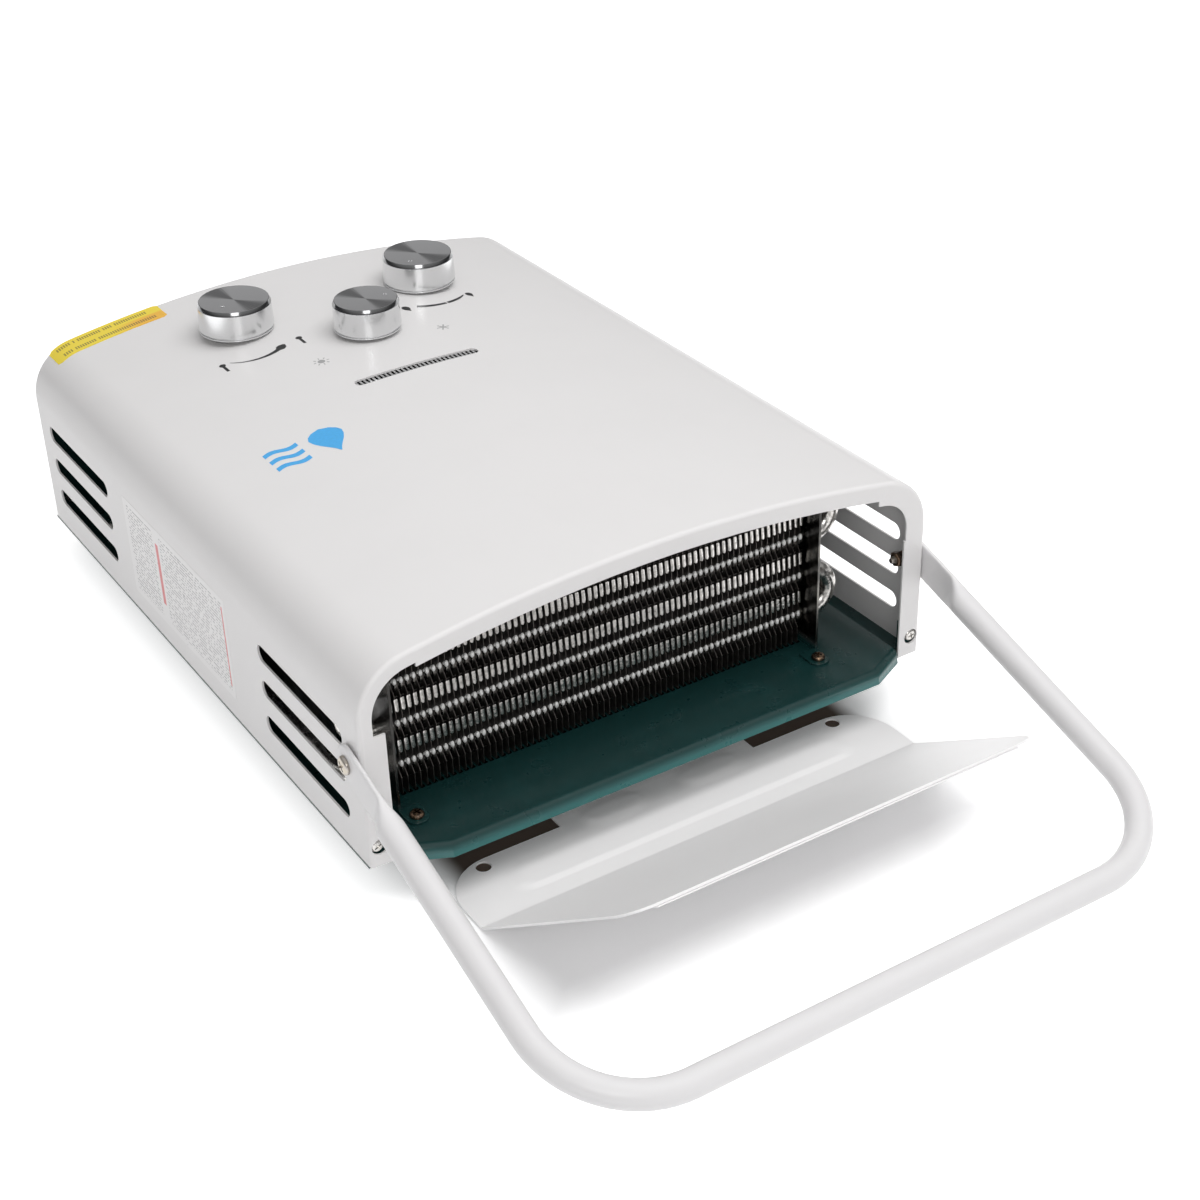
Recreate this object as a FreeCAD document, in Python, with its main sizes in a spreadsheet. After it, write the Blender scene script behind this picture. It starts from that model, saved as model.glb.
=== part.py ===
import FreeCAD, Part
import math
import os
import re

import Sketcher
from FreeCAD import Placement, Rotation, Vector

# A portable gas water heater lying on its back, in millimetres.  +Z points out of the front cover,
# +X to the right, and the exhaust end faces -Y.  The origin is on the wall plane (the floor here),
# at the middle of the case's width and level with the case's exhaust end.

DIMENSIONS = [
    # the case
    ("case_width", 290, "outside width of the front cover"),
    ("case_length", 370, "length of the front cover, exhaust end to inlet end"),
    ("case_depth", 107.5, "front cover's rim to the crown of its arch"),
    ("stand_off", 22, "wall plane to the front cover's rim"),
    ("arch_radius", 690, "radius of the arched front"),
    ("corner_radius", 27, "radius where the front turns into a side"),
    ("edge_radius", 2, "bend between the outside and the end lips"),
    ("cover_sheet", 1, "front cover's sheet"),
    ("lip_width", 12, "width of the end lips at the sides"),
    ("lip_crown", 8.6, "width of the end lips under the arch"),
    ("corner_relief", 5.4, "how much narrower the lip is round its left corner than at the side"),
    ("relief_right", 0.8, "how much narrower the lip is round its right corner than at the side"),
    ("relief_side", 63, "height above the rim where the corner relief starts"),
    ("relief_front", 117, "half width where the corner relief starts"),
    ("slot_length", 81, "louvre slot's length"),
    ("slot_height", 8.6, "louvre slot's height"),
    ("slot_pitch", 18.4, "louvre slots' spacing"),
    ("slot_rise", 19.2, "rim to the lowest slot's middle"),
    ("slot_inset", 56.5, "case's end to a slot's middle"),
    ("window_length", 68, "flame window's length"),
    ("window_height", 6.4, "flame window's height"),
    ("window_station", 213, "exhaust end to the flame window"),
    ("mesh_length", 74, "window mesh's length"),
    ("mesh_width", 12, "window mesh's width"),
    ("mesh_sheet", 0.5, "window mesh's thickness"),
    ("mesh_pitch", 2.3, "window mesh's spacing"),
    ("mesh_hole", 1.6, "window mesh's holes"),
    # the back panel
    ("panel_sheet", 1.2, "back panel's sheet"),
    ("panel_gap", 0.3, "cover's rim to the panel's edge flange"),
    ("pan_rise", 5.8, "rim to the top of the pressed pan"),
    ("pan_inset", 14, "case's side to the pan's side"),
    ("tongue", 13, "how far the pan reaches out of the exhaust end"),
    ("tongue_cut", 18.5, "chamfer of the tongue's corners across"),
    ("tongue_slope", 11, "chamfer of the tongue's corners along"),
    ("tab_tall", 20, "screw tab's height"),
    ("tab_inset", 1.8, "case's side to a screw tab"),
    ("tab_hidden", 1.6, "lip's inner edge to a screw tab behind it"),
    ("tab_set", 2.6, "exhaust end to the screw tabs"),
    ("end_inset", 4.8, "case's side to the inlet end's plate"),
    ("end_gap", 0.2, "cover's lip to the inlet end's plate"),
    ("screw_width", 3.5, "sheet screws' diameter"),
    ("screw_head", 7.8, "sheet screws' head diameter"),
    ("screw_head_tall", 2.4, "sheet screws' head height"),
    ("screw_gap", 0.1, "radial clearance of fixed screws and tubes in their holes"),
    ("screw_inset", 4.9, "case's side to the cover screws at the exhaust end"),
    ("far_screw_inset", 7.3, "case's side to the cover screws at the inlet end"),
    ("screw_rise", 9.5, "rim to the cover screws"),
    ("screw_hole", 7.6, "cover's holes round the screw heads"),
    ("rim_head", 6, "cover screws' head diameter"),
    ("screw_reach", 7, "cover screws' thread under the head"),
    # rear rails and hood
    ("rail_length", 200, "rear rail's length"),
    ("rail_web", 30, "rear rail's width on the wall"),
    ("rail_foot", 12, "width of a rail's flange"),
    ("rail_sheet", 1.5, "rear rail's sheet"),
    ("rail_near", 62, "exhaust end to the near rail's middle"),
    ("rail_far", 315, "exhaust end to the far rail's middle"),
    ("hood_sheet", 1, "rain hood's sheet"),
    ("hood_width", 229.5, "rain hood's width at its crease"),
    ("hood_crease", 35.5, "exhaust end to the hood's crease"),
    ("hood_back", 4, "exhaust end to the hood's rear edge"),
    ("hood_run", 91, "how far the flange reaches from the crease"),
    ("hood_climb", 63, "how high the flange rises"),
    ("hood_taper", 14.4, "how much narrower each side is at the edge"),
    ("hood_hem", 5, "width of the hemmed edge"),
    ("hood_corner", 24, "radius of the base plate's corners"),
    ("hood_tab", 52, "half width of the tab under the heater"),
    ("tab_reach", 78, "exhaust end to the tab's end"),
    ("hood_hole", 7, "wall screw holes' diameter"),
    ("hood_hole_spread", 94, "half the wall screw holes' spacing"),
    ("rivet_width", 4, "hood rivets' diameter"),
    ("rivet_spread", 30, "half the hood rivets' spacing"),
    ("rivet_head_tall", 1.6, "hood rivets' head height"),
    ("key_inset", 32, "rail's end to a keyhole"),
    ("key_head", 10, "keyholes' round hole"),
    ("key_slot", 5, "keyholes' slot"),
    ("key_drop", 9, "keyholes' length"),
    # carry handle
    ("handle_tube", 12, "handle tube's diameter"),
    ("handle_wall", 1.2, "handle tube's wall"),
    ("handle_reach", 184.9, "pivot to the middle of the grip bar"),
    ("handle_rest", 15, "wall plane to the middle of the grip bar at rest"),
    ("handle_bend", 45, "bend radius of the tube's middle line"),
    ("flat_sheet", 2.6, "thickness of the flattened ends"),
    ("flat_width", 17, "width of the flattened ends"),
    ("flat_length", 30, "pivot to where the tube is round again"),
    ("flat_gap", 0.4, "case's side to the flattened end"),
    ("pivot_station", 8, "exhaust end to the pivot"),
    ("pivot_rise", 49.2, "rim to the pivot"),
    ("pivot_bolt", 4, "pivot bolt's diameter"),
    ("running_gap", 0.05, "radial clearance of what turns"),
    ("bolt_head", 8.4, "pivot bolts' head diameter"),
    ("bolt_head_tall", 3, "pivot bolts' head height"),
    ("nut_flats", 7, "pivot nuts across the flats"),
    ("nut_thick", 3.2, "pivot nuts' height"),
    # knobs
    ("knob_width", 38.4, "gas and water knobs' diameter"),
    ("season_width", 34.6, "season knob's diameter"),
    ("knob_tall", 15.7, "knobs' height"),
    ("knob_gap", 1.7, "front to a knob's skirt"),
    ("knob_spread", 53, "middle of the case to the outer knobs"),
    ("knob_station", 308.7, "exhaust end to the outer knobs"),
    ("season_station", 265.4, "exhaust end to the season knob"),
    ("spindle_width", 6, "spindles' diameter"),
    ("spindle_hole", 11, "holes in the front for the spindles"),
    ("knob_skirt", 3, "depth of the hollow under a knob"),
    ("knob_wall", 2.2, "knobs' skirt"),
    ("knob_bevel", 2.2, "knobs' bevel"),
    ("knob_crown", 3, "knobs' thickness over the spindle"),
    ("dimple_width", 1.6, "pointer dimples' diameter"),
    ("dimple_depth", 0.6, "pointer dimples' depth"),
    # heat exchanger
    ("fin_face", 30, "exhaust end to the fins"),
    ("fin_depth", 46, "fins' length along the flue"),
    ("fin_tall", 80, "fins' height"),
    ("fin_lift", 0.3, "pan to the fins' lower edge"),
    ("fin_pitch", 3.09, "fins' spacing"),
    ("fin_sheet", 0.4, "fins' thickness"),
    ("fin_count", 70, "how many fins"),
    ("fin_left", -120, "left end plate's inner face from the middle"),
    ("tube_width", 9, "water tubes' outside diameter"),
    ("tube_wall", 0.8, "water tubes' wall"),
    ("tube_setback", 8, "fins' near face to the tubes' middle"),
    ("tube_rise", 11.5, "pan to the lowest tube's middle"),
    ("tube_pitch", 20.6, "tubes' spacing"),
    ("tube_stub", 2, "tube's length past the left end plate"),
    ("tube_reach", 8, "tube's length past the right end plate"),
    ("plate_sheet", 1.2, "end plates' sheet"),
    ("plate_lead", 10, "how far the end plates reach out in front of the fins"),
    ("plate_foot", 12, "length of an end plate's foot"),
    ("foot_width", 10, "width of an end plate's foot"),
    # combustion chamber and burner
    ("chamber_length", 105, "chamber's length"),
    ("chamber_sheet", 0.8, "chamber's sheet"),
    ("chamber_gap", 2, "fins to the chamber"),
    ("chamber_rise", 3, "fins' top to the chamber's top"),
    ("burner_length", 46, "burner bars' length"),
    ("burner_tall", 62, "burner bars' height"),
    ("burner_thick", 14, "burner bars' thickness"),
    ("burner_pitch", 22, "burner bars' spacing"),
    ("burner_count", 9, "how many burner bars"),
    ("port_count", 6, "how many flame ports a burner bar has"),
    ("port_rise", 8, "pan to the lowest flame port"),
    ("port_pitch", 9, "flame ports' spacing"),
    ("port_tall", 2, "flame ports' height"),
    ("jet_gap", 5, "burner bars to the manifold"),
    ("manifold_size", 12, "manifold's section"),
    ("manifold_rise", 36, "pan to the manifold's middle"),
    ("probe_width", 5, "electrode and flame sensor's diameter"),
    ("probe_spread", 20, "middle to the electrode and the sensor"),
    ("probe_inset", 9, "burner bars to the electrode and the sensor"),
    ("probe_depth", 16, "how deep the electrode and the sensor reach into the chamber"),
    ("probe_length", 26, "electrode and flame sensor's length"),
    ("probe_collar", 2, "height of the collars on the electrode and the sensor"),
    # valves and fittings
    ("valve_width", 44, "gas valve body's width and length"),
    ("valve_tall", 45, "gas valve body's height"),
    ("valve_lift", 24, "pan to the gas valve"),
    ("valve_top", 11, "crown's inside to the valves' necks"),
    ("neck_width", 16, "valve necks' diameter"),
    ("neck_bore", 14, "depth of the spindles in the necks"),
    ("diaphragm_width", 62, "water valve's diameter"),
    ("diaphragm_rise", 33, "pan to the water valve's middle"),
    ("body_thick", 18, "water valve body's thickness"),
    ("diaphragm_sheet", 1.5, "rubber diaphragm's thickness"),
    ("chamber_width", 46, "diameter of the hollows on both sides of the diaphragm"),
    ("chamber_depth", 8, "depth of the hollows"),
    ("lid_screw", 18.6, "water valve's middle to its screws, across and up"),
    ("screw_bite", 9, "depth of the lid screws' holes"),
    ("lid_thick", 12, "diaphragm cover's thickness"),
    ("fitting_width", 20.9, "outside of a G 1/2 thread"),
    ("fitting_bore", 13, "bore of the fittings"),
    ("fitting_reach", 28, "inlet end to a fitting's mouth"),
    ("fitting_depth", 30, "depth of the fittings' bore"),
    ("hot_drop", 10, "highest tube's middle to the hot outlet's middle"),
    ("fitting_inside", 22, "inlet end's plate to the water fittings' inner ends"),
    ("nut_width", 27, "lock nuts across the flats"),
    ("nut_tall", 6, "lock nuts' height"),
    ("seal_tall", 2, "rubber seals' height"),
    ("hot_offset", 104, "middle of the case to the hot outlet"),
    ("pipe_lane", 135.5, "middle of the case to the pipes beside the chamber"),
    ("pipe_bend", 12, "bend radius of the water pipes"),
    ("drain_width", 13, "drain plug's diameter"),
    ("drain_rise", 9, "pan to the drain plug's middle"),
    ("drain_inside", 6, "inlet end's plate to the drain plug's inner end"),
    ("drain_reach", 9, "how far the drain plug reaches out"),
    ("solenoid_width", 20, "solenoid's diameter"),
    ("solenoid_tall", 18, "solenoid's height"),
    ("switch_size", 14, "overheat and micro switches' size"),
    ("switch_thick", 8, "overheat switch's thickness"),
    ("switch_station", 30, "chamber's near end to the overheat switch"),
    ("switch_rise", 45, "pan to the overheat switch"),
    ("igniter_left", -122, "igniter's left side from the middle"),
    ("igniter_width", 38, "igniter's width"),
    ("igniter_length", 36, "igniter's length"),
    ("igniter_tall", 28, "igniter's height"),
    # battery box
    ("cell_width", 33.4, "battery cell's diameter"),
    ("cell_length", 61.5, "battery cell's length"),
    ("cell_gap", 0.6, "battery cells to the box's walls"),
    ("contact_size", 14, "battery contacts' size"),
    ("contact_sheet", 0.8, "battery contacts' sheet"),
    ("box_wall", 1.6, "battery box's wall"),
    ("box_foot", 6, "length of the battery box's feet"),
    ("box_margin", 4, "battery box's side to its feet"),
    ("box_left", 88, "middle of the case to the battery box"),
    ("box_lift", 5, "pan to the battery box"),
    ("lid_sheet", 2.4, "battery lid's thickness"),
    ("lid_gap", 0.3, "inlet end's plate to the battery lid"),
    ("lid_lap", 0.6, "how far the lid reaches past the box's sides"),
    ("lid_grip", 18, "battery lid's finger grip"),
    ("pin_width", 3, "lid hinge pin's diameter"),
    ("ear_width", 5, "width of the lid hinge's ears"),
    ("ear_radius", 2.8, "radius of the lid hinge's ears"),
]
NAMES = {alias for alias, value, words in DIMENSIONS}

doc = FreeCAD.newDocument("water_heater")
sheet = doc.addObject("Spreadsheet::Sheet", "sizes")
for row, (alias, value, words) in enumerate(DIMENSIONS, start=1):
    sheet.set(f"A{row}", words)
    sheet.set(f"B{row}", str(value))
    sheet.setAlias(f"B{row}", alias)
doc.recompute()

# Places that several pieces share, as expressions on the sheet.
PAN = "(stand_off + pan_rise)"
CROWN = "(stand_off + case_depth)"
PANEL_LOW = "(stand_off - panel_gap - panel_sheet)"
PLATE_Y = "(case_length - cover_sheet - end_gap - panel_sheet)"
PIVOT_Z = "(stand_off + pivot_rise)"
FIN_RIGHT = "(fin_left + fin_pitch * (fin_count + 1))"
FIN_LOW = f"({PAN} + fin_lift)"
FIN_TOP = f"({FIN_LOW} + fin_tall)"
TUBE_Y = "(fin_face + tube_setback)"
TUBE_LOW = f"({PAN} + tube_rise)"
TUBE_TOP = f"({TUBE_LOW} + 3 * tube_pitch)"
CHAMBER_Y = "(fin_face + fin_depth + chamber_gap)"
BURNER_Y = f"({CHAMBER_Y} + chamber_length)"
MANIFOLD_Y = f"({BURNER_Y} + burner_length + jet_gap)"
MANIFOLD_Z = f"({PAN} + manifold_rise)"
CHAMBER_TOP = f"({FIN_TOP} + chamber_rise)"
MIDDLE = f"((fin_left + {FIN_RIGHT}) / 2)"
VALVE_Z = f"({PAN} + diaphragm_rise)"
HOT_Z = f"({TUBE_TOP} - hot_drop)"
NECK_TOP = f"({CROWN} - cover_sheet - valve_top)"
HANDLE_X = "(case_width / 2 + flat_gap + flat_sheet / 2)"
SCREW_X = "(case_width / 2 - screw_inset)"
FAR_SCREW_X = "(case_width / 2 - far_screw_inset)"
SCREW_Z = "(stand_off + screw_rise)"
SHEET_HOLE = "(screw_width + 2 * screw_gap)"
PLATE_OUT = f"({PLATE_Y} + panel_sheet)"
NUT_END = f"({PLATE_OUT} + seal_tall + nut_tall)"
MOUTH = "(case_length + fitting_reach)"
SEAT_WIDTH = "(fitting_width + 1.5)"
COLD_START = f"({PLATE_Y} - fitting_inside)"
DRAIN_Z = f"({PAN} + drain_rise)"
DRAIN_START = f"({PLATE_Y} - drain_inside)"
NODES = []


def size(alias):
    """A driving dimension as a number."""
    return float(sheet.get(alias))


def bound(text):
    """An expression on the sheet's aliases, in the document's own words."""
    return re.sub(r"[a-z]\w*", lambda word: "sizes." * (word.group() in NAMES) + word.group(), str(text))


def worked_out(text):
    """The value that an expression has now."""
    value = sheet.evalExpression(bound(text))
    return float(getattr(value, "Value", value))


def bind(piece, **properties):
    """Binds properties of a document object to expressions on the sheet."""
    for name, text in properties.items():
        piece.setExpression(name, bound(text))
    return piece


def place(piece, at, turn=None):
    """Puts an object at a point of three expressions, with a fixed turn."""
    if turn is not None:
        piece.Placement = Placement(Vector(), turn)
    for axis, text in zip("xyz", at):
        piece.setExpression(f".Placement.Base.{axis}", bound(text))
    return piece


def name_node(piece, label, at=None):
    """Makes an object a sub-part of its own, with the label that names its file."""
    piece.Label = label
    if at is not None:
        place(piece, at)
    NODES.append(piece)
    return piece


# ---------------------------------------------------------------- primitives

ALONG = {"Z": Rotation(), "X": Rotation(Vector(0, 1, 0), 90), "Y": Rotation(Vector(1, 0, 0), -90)}


def block(low, extent):
    """A box from its lowest corner."""
    piece = doc.addObject("Part::Box", "block")
    bind(piece, Length=extent[0], Width=extent[1], Height=extent[2])
    return place(piece, low)


def rod(start, length, width, axis="Z"):
    """A cylinder of a diameter, from the middle of its first end along an axis."""
    piece = doc.addObject("Part::Cylinder", "rod")
    bind(piece, Radius=f"({width}) / 2", Height=length)
    return place(piece, start, ALONG[axis])


def hexagon(start, length, flats, axis="Z"):
    """A hexagonal bar across the flats, from the middle of its first end."""
    piece = doc.addObject("Part::Prism", "hexagon")
    piece.Polygon = 6
    bind(piece, Circumradius=f"({flats}) / 2 / cos(30)", Height=length)
    return place(piece, start, ALONG[axis])


def fused(pieces):
    piece = doc.addObject("Part::MultiFuse", "fused")
    piece.Shapes = pieces
    return piece


def cut(base, tools):
    piece = doc.addObject("Part::Cut", "cut")
    piece.Base = base
    piece.Tool = tools[0] if len(tools) == 1 else fused(tools)
    return piece


def shared(first, second):
    piece = doc.addObject("Part::Common", "shared")
    piece.Base = first
    piece.Tool = second
    return piece


def group(pieces):
    """Separate solids that share one node."""
    piece = doc.addObject("Part::Compound", "group")
    piece.Links = pieces
    return piece


# ---------------------------------------------------------------- sketches


def new_body(name):
    return doc.addObject("PartDesign::Body", name)


def new_sketch(body, role, lift="0"):
    """A sketch on one of the body's own planes, lifted along the plane's normal."""
    sketch = body.newObject("Sketcher::SketchObject", "profile")
    plane = next(item for item in body.Origin.OriginFeatures if item.Role == role)
    sketch.AttachmentSupport = [(plane, "")]
    sketch.MapMode = "FlatFace"
    sketch.setExpression(".AttachmentOffset.Base.z", bound(lift))
    return sketch


def pin_point(sketch, geometry, end, at):
    """Ties a point of a sketch to two expressions."""
    point = sketch.getPoint(geometry, end)
    for kind, text, value in (("DistanceX", at[0], point.x), ("DistanceY", at[1], point.y)):
        number = sketch.addConstraint(Sketcher.Constraint(kind, -1, 1, geometry, end, value))
        sketch.setExpression(f"Constraints[{number}]", bound(text))


def outline(sketch, points):
    """A closed outline of straight lines through points given as expressions."""
    corners = [Vector(worked_out(across), worked_out(up), 0) for across, up in points]
    first = sketch.GeometryCount
    for start, end in zip(corners, corners[1:] + corners[:1]):
        sketch.addGeometry(Part.LineSegment(start, end))
    for number, at in enumerate(points):
        before = first + (number - 1) % len(points)
        sketch.addConstraint(Sketcher.Constraint("Coincident", before, 2, first + number, 1))
        pin_point(sketch, first + number, 1, at)


def circle(sketch, at, width):
    """A circle of a diameter about a point given as expressions."""
    middle = Vector(worked_out(at[0]), worked_out(at[1]), 0)
    number = sketch.addGeometry(Part.Circle(middle, Vector(0, 0, 1), worked_out(width) / 2))
    pin_point(sketch, number, 3, at)
    across = sketch.addConstraint(Sketcher.Constraint("Diameter", number, worked_out(width)))
    sketch.setExpression(f"Constraints[{across}]", bound(width))


def arc_piece(middle, radius, start, end):
    """An arc between two angles."""
    return Part.ArcOfCircle(Part.Circle(middle, Vector(0, 0, 1), radius), start, end)


def obround(sketch, at, length, height):
    """A slot with round ends, lying along the sketch's first axis."""
    middle = Vector(worked_out(at[0]), worked_out(at[1]), 0)
    reach = Vector((worked_out(length) - worked_out(height)) / 2, 0, 0)
    radius = worked_out(height) / 2
    up = Vector(0, radius, 0)
    quarter = math.pi / 2
    first = sketch.GeometryCount
    sketch.addGeometry(Part.LineSegment(middle - reach - up, middle + reach - up))
    sketch.addGeometry(arc_piece(middle + reach, radius, -quarter, quarter))
    sketch.addGeometry(Part.LineSegment(middle + reach + up, middle - reach + up))
    sketch.addGeometry(arc_piece(middle - reach, radius, quarter, -quarter))
    for a, a_end, b, b_end in ((0, 2, 1, 1), (1, 2, 2, 1), (2, 2, 3, 1), (3, 2, 0, 1)):
        sketch.addConstraint(Sketcher.Constraint("Tangent", first + a, a_end, first + b, b_end))
    pin_point(sketch, first + 1, 3, (f"{at[0]} + ({length} - {height}) / 2", at[1]))
    pin_point(sketch, first + 3, 3, (f"{at[0]} - ({length} - {height}) / 2", at[1]))
    across = sketch.addConstraint(Sketcher.Constraint("Radius", first + 1, radius))
    sketch.setExpression(f"Constraints[{across}]", bound(f"{height} / 2"))


def arch(sketch, inset, low):
    """The case's section, inset all round: straight sides, round corners and an arched front."""
    half = size("case_width") / 2 - worked_out(inset)
    bend = size("corner_radius") - worked_out(inset)
    bow = size("arch_radius") - worked_out(inset)
    middle = worked_out(CROWN) - size("arch_radius")
    corner = Vector(half - bend, middle + math.sqrt((bow - bend) ** 2 - (half - bend) ** 2), 0)
    turn = math.atan2(corner.y - middle, corner.x)
    bottom = worked_out(low)
    first = sketch.GeometryCount
    left = Vector(-corner.x, corner.y, 0)
    sketch.addGeometry(Part.LineSegment(Vector(-half, bottom, 0), Vector(half, bottom, 0)))
    sketch.addGeometry(Part.LineSegment(Vector(half, bottom, 0), Vector(half, corner.y, 0)))
    sketch.addGeometry(arc_piece(corner, bend, 0, turn))
    sketch.addGeometry(arc_piece(Vector(0, middle, 0), bow, turn, math.pi - turn))
    sketch.addGeometry(arc_piece(left, bend, math.pi - turn, math.pi))
    sketch.addGeometry(Part.LineSegment(Vector(-half, corner.y, 0), Vector(-half, bottom, 0)))
    bottom_line, right, right_bend, bow_arc, left_bend, left_line = range(first, first + 6)
    sketch.addConstraint(Sketcher.Constraint("Coincident", bottom_line, 2, right, 1))
    for a, b in ((right, right_bend), (right_bend, bow_arc), (bow_arc, left_bend), (left_bend, left_line)):
        sketch.addConstraint(Sketcher.Constraint("Tangent", a, 2, b, 1))
    sketch.addConstraint(Sketcher.Constraint("Coincident", left_line, 2, bottom_line, 1))
    sketch.addConstraint(Sketcher.Constraint("Equal", right_bend, left_bend))
    pin_point(sketch, bottom_line, 1, (f"-case_width / 2 + ({inset})", low))
    pin_point(sketch, bottom_line, 2, (f"case_width / 2 - ({inset})", low))
    pin_point(sketch, bow_arc, 3, ("0", f"{CROWN} - arch_radius"))
    for arc, text in ((bow_arc, f"arch_radius - ({inset})"), (right_bend, f"corner_radius - ({inset})")):
        number = sketch.addConstraint(Sketcher.Constraint("Radius", arc, worked_out(text)))
        sketch.setExpression(f"Constraints[{number}]", bound(text))
    sketch.addConstraint(Sketcher.Constraint("Vertical", right))
    sketch.addConstraint(Sketcher.Constraint("Vertical", left_line))


def feature(body, kind, sketch, **properties):
    """A PartDesign feature on a sketch, with lengths bound to the sheet."""
    step = body.newObject("PartDesign::" + kind, kind.lower())
    step.Profile = sketch
    for name, text in properties.items():
        if isinstance(text, str) and name != "Type":
            step.setExpression(name, bound(text))
        else:
            setattr(step, name, text)
    doc.recompute()
    return step


def round_edges(body, step, wanted, radius):
    """Rounds the edges of a step that a test picks."""
    edges = [f"Edge{n}" for n, edge in enumerate(step.Shape.Edges, start=1) if wanted(edge)]
    fillet = body.newObject("PartDesign::Fillet", "fillet")
    fillet.Base = (step, edges)
    bind(fillet, Radius=radius)
    doc.recompute()
    return fillet


# ---------------------------------------------------------------- case


def front_cover():
    """One bent sheet: arched front, two sides and a return lip at each end."""
    body = new_body("cover_shell")
    section = new_sketch(body, "XZ_Plane")
    arch(section, "0", "stand_off")
    feature(body, "Pad", section, Length="case_length", Reversed=True)
    inside = new_sketch(body, "XZ_Plane", "-cover_sheet")
    arch(inside, "cover_sheet", "stand_off - 1")
    shell = feature(body, "Pocket", inside, Length="case_length - 2 * cover_sheet")
    inner_end = size("cover_sheet")

    def end_edge(edge, stations):
        box = edge.BoundBox
        level = box.YLength < 0.01 and box.ZMax > size("stand_off") + 1
        return level and min(abs(box.YMin - station) for station in stations) < 0.01

    stations = (inner_end, size("case_length") - inner_end)
    shell = round_edges(body, shell, lambda edge: end_edge(edge, stations), "edge_radius - cover_sheet")
    stations = (0, size("case_length"))
    round_edges(body, shell, lambda edge: end_edge(edge, stations), "edge_radius")
    slots = new_sketch(body, "YZ_Plane")
    for station in ("slot_inset", "case_length - slot_inset"):
        for number in range(3):
            height = f"stand_off + slot_rise + {number} * slot_pitch"
            obround(slots, (station, height), "slot_length", "slot_height")
    feature(body, "Pocket", slots, Length="case_width + 10", Midplane=True)
    window = new_sketch(body, "XY_Plane", f"{CROWN} + 1")
    obround(window, ("0", "window_station"), "window_length", "window_height")
    feature(body, "Pocket", window, Length="20")
    for lift in ("cover_sheet + 1", "-case_length + cover_sheet + 1"):
        mouth = new_sketch(body, "XZ_Plane", lift)
        arch(mouth, "lip_width", "stand_off - 1")
        feature(body, "Pocket", mouth, Length="2 * cover_sheet + 2")

    holes = []
    for side, narrower in ((-1, "corner_relief"), (1, "relief_right")):
        relief = new_body(f"{narrower}_prism")
        section = new_sketch(relief, "XZ_Plane", "1")
        arch(section, f"lip_width - {narrower}", "stand_off + relief_side")
        feature(relief, "Pad", section, Length="case_length + 2", Reversed=True)
        corner = block(
            (across(side, "relief_front", "case_width / 2"), "-1", "stand_off + relief_side"),
            ("case_width / 2 - relief_front", "case_length + 2", "case_depth"),
        )
        holes.append(shared(relief, corner))
    crown = new_body("lip_crown_prism")
    section = new_sketch(crown, "XZ_Plane", "1")
    arch(section, "lip_crown", "stand_off + relief_side")
    feature(crown, "Pad", section, Length="case_length + 2", Reversed=True)
    middle = block(
        ("-relief_front", "-1", "stand_off + relief_side"),
        ("2 * relief_front", "case_length + 2", "case_depth"),
    )
    holes.append(shared(crown, middle))
    for at in KNOBS:
        holes.append(rod((*at, f"{CROWN} - 20"), "25", "spindle_hole"))
    for side in (1, -1):
        start = across(side, "case_width / 2 - 5", "case_width / 2 + 5")
        holes.append(rod((start, "pivot_station", PIVOT_Z), "10", "pivot_bolt + 2 * screw_gap", "X"))
        for at_x, start in ((SCREW_X, "-1"), (FAR_SCREW_X, "case_length - edge_radius")):
            at_side = across(side, at_x, at_x)
            holes.append(rod((at_side, start, SCREW_Z), "edge_radius + 1", "screw_hole", "Y"))
    name_node(cut(body, holes), "front_cover")


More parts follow.
